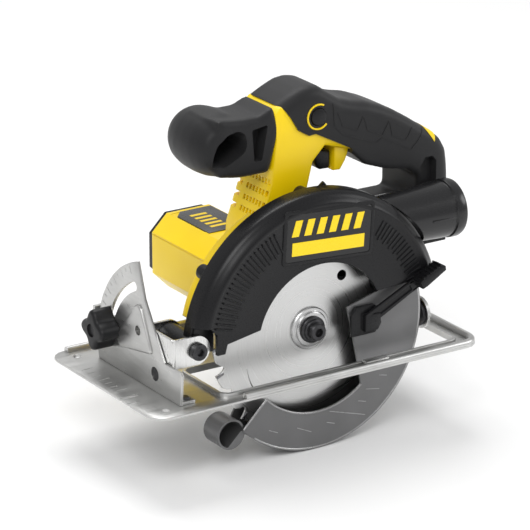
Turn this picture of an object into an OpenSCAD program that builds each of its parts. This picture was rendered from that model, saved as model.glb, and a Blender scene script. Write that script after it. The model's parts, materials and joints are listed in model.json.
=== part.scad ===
// Cordless circular saw with the blade on the near side and the motor on the far side.
// Frame: sole plane at Z = 0, blade mid-plane at Y = 0, arbor above the origin.
// +X runs to the rear, -Y to the blade side, +Z up. Millimetres.

/* [Blade] */
// Diameter of the saw blade
blade_d = 165; // [150:1:200]
// Thickness of the blade body
blade_t = 1.6; // [1:0.1:2.4]
// Number of teeth
teeth = 24; // [16:1:40]
// Bore of the blade
blade_bore = 20; // [16:1:25.4]
// Height of the arbor over the sole at full depth
arbor_z = 28.5; // [26:0.5:34]
// Diameter of the two clamping flanges
flange_d = 32; // [28:1:40]

/* [Guards] */
// Radial gap between the blade tips and the lower guard's rim
rim_gap = 6; // [4:0.5:10]
// Sheet thickness of the lower guard
lower_t = 1.5; // [1:0.1:2.5]
// Blade mid-plane to the outside of the lower guard's near plate
lower_near = 12.6; // [10:0.1:15]
// Wall of the upper guard
guard_t = 2.5; // [2:0.1:4]
// Blade mid-plane to the outside of the upper guard's near wall
guard_near = 17; // [15:0.5:22]
// Radial gap between the lower guard and the inside of the upper guard's near half
guard_gap = 13.9; // [8:0.1:20]
// Outer diameter of the dust port
port_d = 42; // [32:1:48]
// Wall of the dust port
port_t = 2.5; // [2:0.1:4]

/* [Shoe] */
// Shoe ahead of the quadrant
shoe_nose = 28; // [20:1:45]
// Blade tips to the rear edge of the shoe
shoe_tail = 46.5; // [40:0.5:76]
// Blade mid-plane to the near edge of the shoe
shoe_near = 37.5; // [34:0.5:60]
// Blade mid-plane to the far edge of the shoe
shoe_far = 115.5; // [104:0.5:150]
// Sheet thickness of the shoe and its brackets
plate_t = 2; // [1.5:0.1:3]
// Height of the turned-up rims
rim_h = 6; // [4:0.5:8]

/* [Bevel] */
// Bevel axis on the far side of the blade
pivot_y = 10.5; // [8:0.5:16]
// Bevel axis over the sole
pivot_z = 15.4; // [13:0.1:18]
// Diameter of the bevel pins
pin_d = 10; // [7:0.5:12]
// Radius of the quadrant's slot
slot_r = 64; // [56:1:72]
// Width of the quadrant's slot
slot_w = 7; // [6:0.1:9]
// Outer radius of the quadrant
quad_r = 81; // [76:1:95]
// Diameter of the bevel and depth clamping bolts
clamp_d = 6; // [4:0.5:7]
// Largest bevel angle
bevel_max = 50; // [40:1:52]

/* [Depth] */
// Blade tips to the depth pivot, along the shoe
depth_gap = 19; // [17:0.5:27]
// Depth pivot over the sole
depth_z = 35; // [32:0.5:40]
// Diameter of the depth pivot bolt
depth_d = 8; // [6:0.5:10]
// Arbor to the depth guide's slot, along the shoe
guide_x = 48.5; // [44:0.5:54]
// Largest turn of the saw about the depth pivot
depth_max = 31; // [25:1:32]

/* [Motor and gears] */
// Gear module
gear_m = 1; // [0.8:0.05:1.2]
// Teeth of the drive gear
gear_n = 48; // [40:1:52]
// Teeth of the pinion
pinion_n = 9; // [8:1:11]
// Angle of the motor axis over the arbor, measured from the front
motor_ang = 58; // [40:1:75]
// Blade mid-plane to the far end of the motor housing
motor_end = 150; // [140:1:185]
// Width of the motor housing
motor_w = 63; // [60:1:80]
// Height of the motor housing
motor_h = 58; // [56:1:75]
// Outer diameter of the stator can
stator_d = 47; // [42:1:50]
// Diameter of the spindle
spindle_d = 12; // [10:0.5:15]
// Diameter of the motor shaft
shaft_d = 6; // [5:0.5:8]

/* [Handles] */
// Blade mid-plane to the middle of the main handle
handle_y = 48; // [44:1:60]
// Width of the handle and its neck
handle_w = 44; // [36:1:50]
// Top of the main handle over the sole
handle_top = 200; // [190:1:220]
// Wall of the moulded shells
shell_t = 3; // [2.4:0.1:4]
// Outer height of the front handle
front_h = 48; // [42:1:54]
// Diameter of the housing screws
screw_d = 4; // [3:0.1:5]

/* [Hidden] */
$fn = 64;

run_fit = 0.05;    // radial gap of a running or pressed seat
part_gap = 0.3;    // gap between curved or sliding faces of different pieces
eps = 0.01;        // overshoot of a cut

blade_r = blade_d / 2;
shoe_rear = blade_r + shoe_tail;                // arbor to the shoe's rear edge
depth_x = blade_r + depth_gap;                  // arbor to the depth pivot
guide_r = depth_x + guide_x;                    // radius of the depth guide's slot
lower_r = blade_r + rim_gap + lower_t;         // outside of the lower guard's rim
guard_in = lower_r + guard_gap;                // inside of the upper guard's near half
guard_r = guard_in + guard_t;                  // outside of the upper guard's near half
back_r = lower_r + 3.5 + guard_t;              // outside of the guard's back half
band_split = 2;                                // where near half and back half meet
lower_far = 8.5;                               // outside of the lower guard's far plate
back_in = lower_far + 2;                       // inside of the back half's wall
back_out = back_in + guard_t;                  // outside of the back half's wall

quad_t = 2.5;
quad_x = -(depth_x + 20);                      // rear face of the quadrant
web_x = quad_x + part_gap;                     // front face of the bevel bracket
shoe_front = -(quad_x - quad_t) + shoe_nose;
open_front = -(depth_x - 12.5);                // blade opening in the shoe
open_rear = shoe_rear - 16;
open_near = -26;
open_far = 30;
rear_ear_x = open_rear - 8;

slot_from = 15;                                // knob's angle round the bevel axis at no bevel
knob_y = pivot_y + slot_r * cos(slot_from);
knob_z = pivot_z + slot_r * sin(slot_from);
clamp_from = 3;                                // depth clamp's angle round the depth pivot
clamp_x = -depth_x + guide_r * cos(clamp_from);
clamp_z = depth_z + guide_r * sin(clamp_from);

centre = gear_m * (gear_n + pinion_n) / 2;
motor_x = -centre * cos(motor_ang);
motor_z = arbor_z + centre * sin(motor_ang);

// Shapes drawn in the X-Z plane and made thick along Y, or drawn in the Y-Z plane along X
module along_y(from, to) {
    translate([0, to, 0]) rotate([90, 0, 0]) linear_extrude(to - from) children();
}
module along_x(from, to) {
    translate([from, 0, 0]) rotate([90, 0, 90]) linear_extrude(to - from) children();
}
// Round bar along Z
module rod_z(x, y, from, to, d) {
    translate([x, y, from]) cylinder(h = to - from, d = d);
}
module rod_y(x, z, from, to, d) {
    translate([x, from, z]) rotate([-90, 0, 0]) cylinder(h = to - from, d = d);
}
module rod_x(y, z, from, to, d) {
    translate([from, y, z]) rotate([0, 90, 0]) cylinder(h = to - from, d = d);
}
module tube_y(x, z, from, to, d, bore) {
    difference() {
        rod_y(x, z, from, to, d);
        rod_y(x, z, from - eps, to + eps, bore);
    }
}
function arc(r, from, to, n = 12) =
    [for (i = [0:n]) let (a = from + (to - from) * i / n) [r * cos(a), r * sin(a)]];
function rev(v) = [for (i = [len(v) - 1:-1:0]) v[i]];
function moved(v, x, y) = [for (p = v) p + [x, y]];
function round_rect(x0, y0, x1, y1, r, n = 6) = concat(
    moved(arc(r, 180, 270, n), x0 + r, y0 + r), moved(arc(r, 270, 360, n), x1 - r, y0 + r),
    moved(arc(r, 0, 90, n), x1 - r, y1 - r), moved(arc(r, 90, 180, n), x0 + r, y1 - r));
// Ring sector in a plane
module sector(r_in, r_out, from, to) {
    polygon(concat(arc(r_out, from, to, 32), rev(arc(r_in, from, to, 32))));
}

// ---- Shoe ----
rim_t = 2.2;
rim_from = -77;            // the near rim starts behind the flat nose
tab_x = 28;
tab_l = 20;
collar_h = 5;
foot_w = 13;               // foot flange of the quadrant
rivet_d = 4;

module shoe_outline(inset) {
    polygon(round_rect(-shoe_front + inset, -shoe_near + inset, shoe_rear - inset,
        shoe_far - inset, 14 - inset));
}
module opening(grow) {
    polygon(round_rect(open_front - grow, open_near - grow, open_rear + grow, open_far + grow, 6 + grow));
}
module base_plate() color("silver") {
    difference() {
        union() {
            linear_extrude(plate_t) shoe_outline(0);
            difference() {
                linear_extrude(rim_h) difference() { shoe_outline(0); shoe_outline(rim_t); }
                translate([-shoe_front - 1, -shoe_near - 1, plate_t])
                    cube([rim_from + shoe_front + 1, shoe_far - 6, rim_h]);
            }
            linear_extrude(collar_h) difference() { opening(rim_t); opening(0); }
            translate([tab_x, open_near - 8, collar_h - 0.5]) cube([tab_l, 6, plate_t]);
        }
        translate([0, 0, -eps]) linear_extrude(plate_t + 1) opening(0);
        // Kerf notches at no bevel and at 45 degrees
        translate([-shoe_front - 1, -1, -eps]) cube([9, 3, plate_t + 1]);
        translate([-shoe_front - 1, 10, -eps]) cube([15, 3, plate_t + 1]);
        for (p = rivets) translate([p[0], p[1], -eps])
            cylinder(h = plate_t + 1, d = rivet_d + 2 * run_fit);
    }
}
rivets = concat([for (y = [-17, 40, 80]) [quad_x + foot_w / 2 - 1, y]],
    [[rear_ear_x + 12, open_far + 10]]);

module quad_outline() {
    tip = 74;                                   // angle of the quadrant's tip round the pivot
    polygon(concat(
        [[pivot_y + 79, plate_t]],
        moved(arc(quad_r, 4, tip, 20), pivot_y, pivot_z),
        [[pivot_y + 14, pivot_z + 52], [pivot_y - 12, pivot_z + 12], [pivot_y - 34, pivot_z + 12],
            [pivot_y - 36, pivot_z + 10], [pivot_y - 34, plate_t]]));
}
module bevel_quadrant() color("silver") {
    slot_to = slot_from + bevel_max;
    difference() {
        union() {
            along_x(quad_x - quad_t, quad_x) quad_outline();
            translate([quad_x - quad_t, pivot_y - 34, plate_t]) cube([foot_w, 34 + 79, quad_t]);
        }
        rod_x(pivot_y, pivot_z, quad_x - quad_t - 1, quad_x + 1, pin_d + 2 * run_fit);
        along_x(quad_x - quad_t - 1, quad_x + 1) translate([pivot_y, pivot_z])
            sector(slot_r - slot_w / 2, slot_r + slot_w / 2, slot_from, slot_to);
        for (a = [slot_from, slot_to])
            rod_x(pivot_y + slot_r * cos(a), pivot_z + slot_r * sin(a),
                quad_x - quad_t - 1, quad_x + 1, slot_w);
        for (i = [0:2]) translate([rivets[i][0], rivets[i][1], 0])
            cylinder(h = plate_t + quad_t + 1, d = rivet_d + 2 * run_fit);
        // room for the bracket's pivot boss over the foot
        translate([quad_x + eps, pivot_y - 19, plate_t]) cube([foot_w, 28, quad_t + 2]);
    }
}
module rear_pivot_ear() color("silver") {
    difference() {
        union() {
            rod_x(pivot_y, pivot_z, rear_ear_x, rear_ear_x + quad_t, 24);
            translate([rear_ear_x, pivot_y, pivot_z - 8]) cube([quad_t, open_far + 6 - pivot_y, 12]);
            translate([rear_ear_x, open_far + 3, plate_t]) cube([quad_t, 14, 15]);
            translate([rear_ear_x, open_far + 3, plate_t]) cube([20, 14, quad_t]);
        }
        rod_x(pivot_y, pivot_z, rear_ear_x - 1, rear_ear_x + quad_t + 1, pin_d + 2 * run_fit);
        translate([rivets[3][0], rivets[3][1], plate_t - eps])
            cylinder(h = quad_t + 1, d = rivet_d + 2 * run_fit);
    }
}
module shoe_rivets() color("dimgray") {
    for (p = rivets) translate([p[0], p[1], 0]) {
        cylinder(h = plate_t + quad_t, d = rivet_d);
        translate([0, 0, plate_t + quad_t]) cylinder(h = 1.5, d1 = rivet_d + 4, d2 = rivet_d + 1);
    }
}

// ---- Bevel frame: carries the saw and turns about the two bevel pins ----
bracket_t = 2.5;
near_ear = -7.5;           // inside of the bracket's near ear
far_ear = 28;              // inside of its far ear
ear_r = 11;
web_top = depth_z + ear_r;
boss_d = 20;               // round end of the bracket about the bevel pin
link_y = back_out + 1;     // plane of the depth guide, clear of the guard's back wall
guide_w = 14;

module front_bracket() color("silver") {
    ear_l = web_x + depth_x;
    difference() {
        union() {
            along_x(web_x, web_x + bracket_t) {
                polygon([[near_ear - bracket_t, web_top], [near_ear - bracket_t, depth_z - ear_r],
                    [-3, pivot_z - 4], [pivot_y - 8, pivot_z - 9.5], [pivot_y + 8, pivot_z - 9.5],
                    [knob_y + 7, knob_z - 8], [knob_y + 7, knob_z + 6], [far_ear + bracket_t, web_top]]);
            }
            for (y = [near_ear - bracket_t, far_ear]) {
                translate([web_x, y, depth_z - ear_r]) cube([-ear_l, bracket_t, 2 * ear_r]);
                rod_y(-depth_x, depth_z, y, y + bracket_t, 2 * ear_r);
            }
        }
        rod_x(pivot_y, pivot_z, web_x - 1, web_x + bracket_t + 1, pin_d + 2 * run_fit);
        rod_x(knob_y, knob_z, web_x - 1, web_x + bracket_t + 1, clamp_d + 2 * run_fit);
        rod_y(-depth_x, depth_z, near_ear - bracket_t - 1, far_ear + bracket_t + 1,
            depth_d + 2 * run_fit);
    }
}
module rear_bracket() color("dimgray") {
    x = rear_ear_x - part_gap - bracket_t;
    difference() {
        union() {
            rod_x(pivot_y, pivot_z, x, x + bracket_t, boss_d);
            translate([x, pivot_y, pivot_z - 4]) cube([bracket_t, link_y + bracket_t - pivot_y, 14]);
            // link along the guard's back wall to the depth guide
            translate([-depth_x + guide_r + guide_w / 2, link_y, pivot_z - 4])
                cube([x + bracket_t + depth_x - guide_r - guide_w / 2, bracket_t, 14]);
        }
        rod_x(pivot_y, pivot_z, x - 4, x + bracket_t + 1, pin_d + 2 * run_fit);
    }
}
module depth_guide() color("silver") {
    low = -9;
    slot_to = clamp_from + depth_max;
    difference() {
        union() {
            along_y(link_y, link_y + bracket_t) translate([-depth_x, depth_z])
                sector(guide_r - guide_w / 2, guide_r + guide_w / 2, low, slot_to + 4);
            translate([-depth_x + guide_r - 8, link_y, pivot_z - 4])
                cube([8 + guide_w / 2, bracket_t, 14]);
        }
        along_y(link_y - 1, link_y + bracket_t + 1) translate([-depth_x, depth_z])
            sector(guide_r - clamp_d / 2 - 0.3, guide_r + clamp_d / 2 + 0.3, clamp_from, slot_to);
        for (a = [clamp_from, slot_to])
            rod_y(-depth_x + guide_r * cos(a), depth_z + guide_r * sin(a),
                link_y - 1, link_y + bracket_t + 1, clamp_d + 0.6);
    }
}
module bevel_pins() color("dimgray") {
    rod_x(pivot_y, pivot_z, quad_x - quad_t + 0.8, web_x + bracket_t + 2, pin_d);
    rod_x(pivot_y, pivot_z, rear_ear_x - part_gap - bracket_t - 2, rear_ear_x + quad_t + 1.5, pin_d);
}
module bevel_bolt() color("dimgray") {
    rod_x(knob_y, knob_z, quad_x - quad_t - 12, web_x + bracket_t, clamp_d);
    rod_x(knob_y, knob_z, web_x + bracket_t, web_x + bracket_t + 3, 14);
}
module bevel_pointer() color("silver") {
    // arm behind the quadrant, and a tab that reaches round its edge
    y = pivot_y + (quad_r + 1) * cos(slot_from);
    translate([web_x, knob_y + 7, knob_z - 4]) cube([bracket_t, y + 4 - knob_y - 7, 14]);
    translate([quad_x - quad_t - 2, y + 0.5, knob_z + 1]) cube([web_x - quad_x + quad_t + 2.5, 3, 9]);
}
knob_d = 30;
knob_l = 16;
module bevel_knob() color("#2a2a2c") {
    x0 = quad_x - quad_t - part_gap - knob_l;
    difference() {
        union() {
            rod_x(knob_y, knob_z, x0, x0 + knob_l, knob_d - 6);
            for (a = [0:90:270]) rod_x(knob_y + 9 * cos(a), knob_z + 9 * sin(a), x0, x0 + knob_l - 3, 12);
        }
        rod_x(knob_y, knob_z, x0 + 4, x0 + knob_l + 1, clamp_d + 2 * run_fit);
    }
}

// ---- Upper guard ----
recess_x = -(depth_x - 13);      // the near half steps back round the bracket's ear
recess_z = depth_z + ear_r + 6;
lug_near = near_ear + part_gap;
lug_far = far_ear - part_gap;
window_r = 54;
// Depth pivot, clear of the bracket's ears
module pivot_lug_cut(d) { rod_y(-depth_x, depth_z, lug_near - 20, lug_far + 20, d); }

module guard_half_disc(r) {
    // upper half, with the raised rear edge and the lower front corner
    intersection() {
        circle(r = r, $fn = 128);
        polygon([[-2 * r, 2], [-82, 2], [-80, 9], [-window_r, 14], [window_r, 24], [2 * r, 30],
            [2 * r, 2 * r], [-2 * r, 2 * r]]);
    }
}
module upper_guard() color("#2a2a2c") {
    difference() {
        union() {
            translate([0, 0, arbor_z]) difference() {
                along_y(-guard_near, band_split) guard_half_disc(guard_r);
                along_y(-guard_near + guard_t, band_split - guard_t) circle(r = guard_in, $fn = 128);
                along_y(-guard_near - 1, band_split + 1) circle(r = window_r, $fn = 96);
                along_y(band_split - guard_t - 1, band_split + 1) circle(r = back_r - guard_t, $fn = 96);
                // step back round the bracket's ear
                along_y(-guard_near - 1, lug_near) translate([0, -arbor_z])
                    polygon([[-2 * guard_r, 0], [recess_x, 0], [recess_x, recess_z - 6],
                        [recess_x - 6, recess_z], [-2 * guard_r, recess_z]]);
            }
            // wall that closes the step
            along_y(lug_near, lug_near + guard_t) intersection() {
                translate([0, arbor_z]) circle(r = guard_r, $fn = 128);
                translate([-guard_r - 1, arbor_z + 2])
                    square([guard_r + 1 + recess_x + guard_t, recess_z + guard_t - arbor_z - 2]);
            }
            rod_y(-depth_x, depth_z, lug_near, band_split, 2 * ear_r - 3);
            // bosses for the cover screws
            for (p = guard_screw_at) rod_y(p[0], p[1], -guard_near + 1, band_split, 2 * screw_d + 1);
        }
        pivot_lug_cut(depth_d + 2 * run_fit);
        dust_bore();
        for (p = guard_screw_at)
            rod_y(p[0], p[1], -guard_near + 4, band_split + 1, screw_d + 2 * run_fit);
    }
}
guard_screw_at = [for (a = [22, 90, 146]) [(guard_in - 5) * cos(a), arbor_z + (guard_in - 5) * sin(a)]];

port_z = 97;
port_end = 127;
port_y = 1.5;
hose_l = 28;               // depth to the shoulder that stops a hose
module dust_bore() {
    rod_x(port_y, port_z, 40, port_end, port_d - 2 * port_t - 2);
    rod_x(port_y, port_z, port_end - hose_l, port_end + 1, port_d - 2 * port_t);
}
module dust_port() color("#2a2a2c") {
    difference() {
        union() {
            rod_x(port_y, port_z, 45, port_end, port_d);
            rod_x(port_y, port_z, port_end - 9, port_end, port_d + 2);
        }
        dust_bore();
        rod_y(0, arbor_z, port_y - port_d, band_split + part_gap, 2 * (guard_r + part_gap));
        rod_y(0, arbor_z, band_split, port_y + port_d, 2 * (back_r + part_gap));
        // room for the guard's screw lugs
        for (p = guard_screw_at)
            rod_y(p[0], p[1], band_split, back_out + part_gap, 2.8 * screw_d + 2 * part_gap);
    }
}
module guard_back() color("#2a2a2c") {
    difference() {
        union() {
            translate([0, 0, arbor_z]) along_y(band_split, back_out) guard_half_disc(back_r);
            rod_y(-depth_x, depth_z, band_split, lug_far, 2 * ear_r - 3);
            translate([-depth_x, band_split, depth_z - 6]) cube([20, lug_far - band_split, 12]);
            for (p = guard_screw_at) rod_y(p[0], p[1], band_split, back_out, 2.8 * screw_d);
        }
        translate([0, 0, arbor_z]) along_y(band_split - 1, back_in) circle(r = back_r - guard_t, $fn = 96);
        // seat of the gear case's nose
        rod_y(0, arbor_z, back_in - 1, back_out + 1, gear_nose_d + 2 * run_fit);
        pivot_lug_cut(depth_d + 2 * run_fit);
        dust_bore();
        rod_y(clamp_x, clamp_z, back_in - 1, back_out + 1, clamp_d + 2 * run_fit);
        for (p = guard_screw_at) rod_y(p[0], p[1], band_split - 1, back_out + 1, screw_d + 2 * run_fit);
    }
}

// ---- Gear case, spindle and blade ----
flange_t = 4;
gear_nose_d = 34;
nose_from = 5.4;
case_from = back_out + part_gap;
cavity_from = case_from + 2.2;
cavity_to = cavity_from + 11.5;
case_to = cavity_to + 11;
bearing_w = 7;
near_bearing_d = 26;
far_bearing_d = 24;
motor_bearing_d = 19;
gear_tip = gear_m * gear_n / 2 - 0.15;
pinion_tip = gear_m * pinion_n / 2 - 0.15;
case_r = gear_tip + 0.8 + 2.4;
case_lobe_r = 16;
gear_w = 8;
gear_from = cavity_from + 1.5;

module gear_case() color("#3a3a3d") {
    difference() {
        union() {
            rod_y(0, arbor_z, nose_from, case_from, gear_nose_d);
            along_y(case_from, case_to) hull() {
                translate([0, arbor_z]) circle(r = case_r);
                translate([motor_x, motor_z]) circle(r = case_lobe_r);
            }
        }
        rod_y(0, arbor_z, cavity_from, cavity_to, 2 * gear_tip + 1.6);
        rod_y(motor_x, motor_z, cavity_from, cavity_to, 2 * pinion_tip + 2);
        rod_y(0, arbor_z, nose_from - 1, case_to - 2, spindle_d + 2);
        rod_y(0, arbor_z, cavity_from - bearing_w, cavity_from + 1, near_bearing_d + 2 * run_fit);
        rod_y(0, arbor_z, cavity_to - 1, cavity_to + bearing_w, far_bearing_d + 2 * run_fit);
        rod_y(motor_x, motor_z, cavity_to - 1, case_to + 1, shaft_d + 2);
        rod_y(motor_x, motor_z, cavity_to - 1, cavity_to + bearing_w, motor_bearing_d + 2 * run_fit);
        rod_x(lock_y, lock_z, -2 * case_r, lock_pin_to + 4, lock_pin_d + 2 * part_gap);
        // flat over the collar of the shoe's opening
        translate([-case_r, cavity_to + 0.8, 0]) cube([2 * case_r, case_to, collar_h + 1.2]);
    }
}
lock_pin_d = 6;
lock_y = case_to - 5.5;
lock_z = arbor_z - 8;
lock_pin_to = -19;
module spindle_lock() color("#2a2a2c") {
    rod_x(lock_y, lock_z, -case_r - 9, lock_pin_to, lock_pin_d);
    rod_x(lock_y, lock_z, -case_r - 9, -case_r - 4, lock_pin_d + 4);
}
module spindle_bearings() color("silver") {
    tube_y(0, arbor_z, cavity_from - bearing_w, cavity_from, near_bearing_d, spindle_d + 2 * run_fit);
    tube_y(0, arbor_z, cavity_to, cavity_to + bearing_w, far_bearing_d, spindle_d + 2 * run_fit);
}
bolt_d = 8;
bolt_in = 15;
module spindle() color("silver") {
    difference() {
        rod_y(0, arbor_z, -blade_t / 2, cavity_to + bearing_w, spindle_d);
        rod_y(0, arbor_z, -blade_t, bolt_in + 1, bolt_d + 2 * run_fit);
    }
}
module inner_flange() color("dimgray") {
    difference() {
        union() {
            rod_y(0, arbor_z, -blade_t / 2, blade_t / 2 + eps, blade_bore);
            rod_y(0, arbor_z, blade_t / 2, blade_t / 2 + flange_t, flange_d);
        }
        rod_y(0, arbor_z, -blade_t, flange_t + blade_t, spindle_d + 2 * run_fit);
    }
}
module outer_flange() color("silver") {
    difference() {
        union() {
            rod_y(0, arbor_z, -blade_t / 2 - flange_t, -blade_t / 2, flange_d - 6);
            rod_y(0, arbor_z, -blade_t / 2 - flange_t / 2, -blade_t / 2, flange_d);
        }
        rod_y(0, arbor_z, -flange_t - blade_t, 0, bolt_d + 2 * run_fit);
    }
}
bolt_face = -blade_t / 2 - flange_t;
module blade_bolt() color("dimgray") {
    difference() {
        union() {
            rod_y(0, arbor_z, bolt_face, bolt_in, bolt_d);
            rod_y(0, arbor_z, bolt_face - 2, bolt_face, 20);
            rod_y(0, arbor_z, bolt_face - 9, bolt_face - 2, 13);
        }
        translate([0, bolt_face - 9 - eps, arbor_z]) rotate([-90, 0, 0]) cylinder(h = 5, d = 6.9, $fn = 6);
    }
}
module saw_blade() color("lightgray") {
    pitch = 360 / teeth;
    root = blade_r - 8;
    difference() {
        translate([0, 0, arbor_z]) along_y(-blade_t / 2, blade_t / 2) polygon([for (i = [0:teeth - 1], q =
            [[0, blade_r], [0.35, blade_r - 1], [0.72, root + 5], [0.8, root], [0.93, root]])
            let (a = pitch * (i + q[0])) [q[1] * cos(a), q[1] * sin(a)]]);
        rod_y(0, arbor_z, -blade_t, blade_t, blade_bore + 2 * run_fit);
        rod_y(blade_hole_x, arbor_z + blade_hole_z, -blade_t, blade_t, blade_hole_d);
    }
}
blade_hole_x = 28;
blade_hole_z = 35;
blade_hole_d = 8;
module toothed_wheel(n, tip, root) {
    polygon([for (i = [0:n - 1], q = [[-0.24, root], [-0.14, tip], [0.14, tip], [0.24, root]])
        let (a = 360 * (i + q[0]) / n) [q[1] * cos(a), q[1] * sin(a)]]);
}
module drive_gear() color("dimgray") {
    difference() {
        translate([0, 0, arbor_z]) along_y(gear_from, gear_from + gear_w)
            toothed_wheel(gear_n, gear_tip, gear_tip - 1.6 * gear_m);
        rod_y(0, arbor_z, gear_from - 1, gear_from + gear_w + 1, spindle_d + 2 * run_fit);
    }
}
module pinion() color("silver") {
    difference() {
        translate([motor_x, 0, motor_z]) along_y(gear_from, gear_from + gear_w)
            toothed_wheel(pinion_n, pinion_tip, pinion_tip - 0.7 * gear_m);
        rod_y(motor_x, motor_z, gear_from - 1, gear_from + gear_w + 1, pinion_bore + 2 * run_fit);
    }
}
pinion_bore = 4;

// ---- Lower guard ----
lower_front = -136;        // front end of its cover round the arbor
lower_back = 20;           // rear end
crescent_in = 61;
nose_r = 11.5;              // flared nose of the lower guard
nose_at = [-0.815 * lower_r, -0.71 * lower_r];
module lower_guard() color("gray") {
    rim_in = lower_r - lower_t;
    difference() {
        translate([0, 0, arbor_z]) {
            along_y(-lower_near, lower_far) sector(rim_in, lower_r, lower_front, lower_back);
            along_y(-lower_near, -lower_near + lower_t) {
                sector(crescent_in, lower_r - eps, lower_front, -52);
                polygon(concat([[25, 14], [34, -27], crescent_in * [cos(-52), sin(-52)]],
                    arc(lower_r - eps, -52, lower_back, 24)));
            }
            along_y(lower_far - lower_t, lower_far) {
                polygon(concat(arc(lower_r - eps, lower_front, lower_back, 48), [[16, 30], [-20, 16]]));
                circle(d = gear_nose_d + 12);
            }
            // flared nose that rides up on the work
            along_y(-lower_near + 2, lower_far) translate(nose_at) circle(r = nose_r);
        }
        // inside of the nose, open on the near side
        translate([0, 0, arbor_z]) along_y(-lower_near - 1, lower_far - lower_t)
            intersection() {
                translate(nose_at) circle(r = nose_r - lower_t);
                polygon([[0, 0], 2 * lower_r * [cos(lower_front), sin(lower_front)], [-3 * lower_r, 0]]);
            }
        rod_y(0, arbor_z, 0, lower_far + 1, gear_nose_d + 0.2);
    }
}
pad_x = 40;
module guard_lever() color("#2a2a2c") {
    arm_from = -20.8;
    difference() {
        union() {
            translate([pad_x - 14, -16, arbor_z - 10]) cube([25, 16 - lower_near, 24]);
            translate([pad_x - 2, arm_from + 0.6, arbor_z - 5]) cube([12, 6.5, 13]);
            translate([pad_x, 0, arbor_z + 4]) rotate([0, -26, 0]) {
                translate([2, arm_from, -4.5]) cube([50, 2.6, 10]);
                translate([44, -31, -0.8]) cube([24, 12, 7]);
            }
        }
        translate([pad_x - 10, -17, arbor_z - 6]) cube([6, 3, 9]);
    }
}
spring_wire = 1.2;
module guard_spring() color("silver") {
    along_y(lower_far + 0.35, lower_far + 0.35 + spring_wire) translate([0, arbor_z]) {
        sector(gear_nose_d / 2 + 2, gear_nose_d / 2 + 2 + spring_wire, -60, 280);
    }
}
module guard_retainer() color("silver") {
    tube_y(0, arbor_z, nose_from, nose_from + 1.2, gear_nose_d + 6, gear_nose_d + 2 * run_fit);
}
module guard_screws() color("silver") {
    for (p = guard_screw_at) difference() {
        union() {
            rod_y(p[0], p[1], -guard_near + 5, back_out, screw_d);
            rod_y(p[0], p[1], back_out, back_out + 1.4, 1.7 * screw_d);
        }
        translate([p[0], back_out + 0.4, p[1]]) rotate([-90, 0, 0]) cylinder(h = 2, d = 3, $fn = 6);
    }
}
label_w = 74;
label_h = 37;
module label_plate() color("#ffde00") {
    translate([5.5, 0, arbor_z + 75.5]) along_y(-guard_near - 0.9, -guard_near) rotate(-3.5)
        polygon(round_rect(-label_w / 2, -label_h / 2, label_w / 2, label_h / 2, 3));
}
module depth_pivot_bolt() color("dimgray") {
    difference() {
        union() {
            rod_y(-depth_x, depth_z, near_ear - bracket_t - 1, far_ear + bracket_t + 2, depth_d);
            rod_y(-depth_x, depth_z, near_ear - bracket_t - 5, near_ear - bracket_t - part_gap, 12);
            rod_y(-depth_x, depth_z, far_ear + bracket_t + part_gap, far_ear + bracket_t + 6, 13);
        }
        translate([-depth_x, near_ear - bracket_t - 6, depth_z]) rotate([-90, 0, 0])
            cylinder(h = 4, d = 6, $fn = 6);
    }
}
lever_from = link_y + bracket_t + part_gap;
module depth_clamp_bolt() color("dimgray") {
    rod_y(clamp_x, clamp_z, back_in - 1, lever_from + 9, clamp_d);
    rod_y(clamp_x, clamp_z, back_in - 1.5, back_in, 10);
}
module depth_lever() color("#2a2a2c") {
    difference() {
        union() {
            rod_y(clamp_x, clamp_z, lever_from, lever_from + 7, 17);
            translate([clamp_x, lever_from + 1, clamp_z - 5]) cube([46, 5, 10]);
            rod_y(clamp_x + 46, clamp_z, lever_from + 1, lever_from + 7.5, 14);
        }
        rod_y(clamp_x, clamp_z, lever_from - 1, lever_from + 8, clamp_d + 2 * run_fit);
    }
}

// ---- Motor ----
housing_from = case_to + part_gap;
cap_from = motor_end - 8;
can_from = housing_from + 15;
can_l = 48;
module octagon(w, h, c) {
    polygon([[-w / 2 + c, -h / 2], [w / 2 - c, -h / 2], [w / 2, -h / 2 + c], [w / 2, h / 2 - c],
        [w / 2 - c, h / 2], [-w / 2 + c, h / 2], [-w / 2, h / 2 - c], [-w / 2, -h / 2 + c]]);
}
module motor_envelope(grow) {
    translate([motor_x, motor_z]) octagon(motor_w + 2 * grow, motor_h + 2 * grow, 13);
}
module motor_housing() color("#ffde00") {
    difference() {
        union() {
            along_y(housing_from, cap_from) motor_envelope(0);
            // skirt behind the guard
            difference() {
                translate([0, 0, arbor_z]) along_y(case_from, case_from + 12)
                    sector(case_r + 20, back_r - 1, 112, 173);
                translate([-2 * depth_x, 0, 0]) cube([1.2 * depth_x, 60, depth_z + ear_r + 2]);
            }
            translate([0, 0, arbor_z]) along_y(case_from, housing_from + 1)
                sector(case_r + 22, case_r + 34, 114, 158);
        }
        rod_y(motor_x, motor_z, housing_from + shell_t, cap_from + 1, stator_d + 2 * run_fit);
        rod_y(motor_x, motor_z, housing_from - 1, cap_from, 22);
        // vents over the fan
        for (i = [0:6])
            translate([motor_x - 26 + 7.5 * i, housing_from + 5, motor_z + 20]) cube([3, 9, 20]);
    }
}
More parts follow.
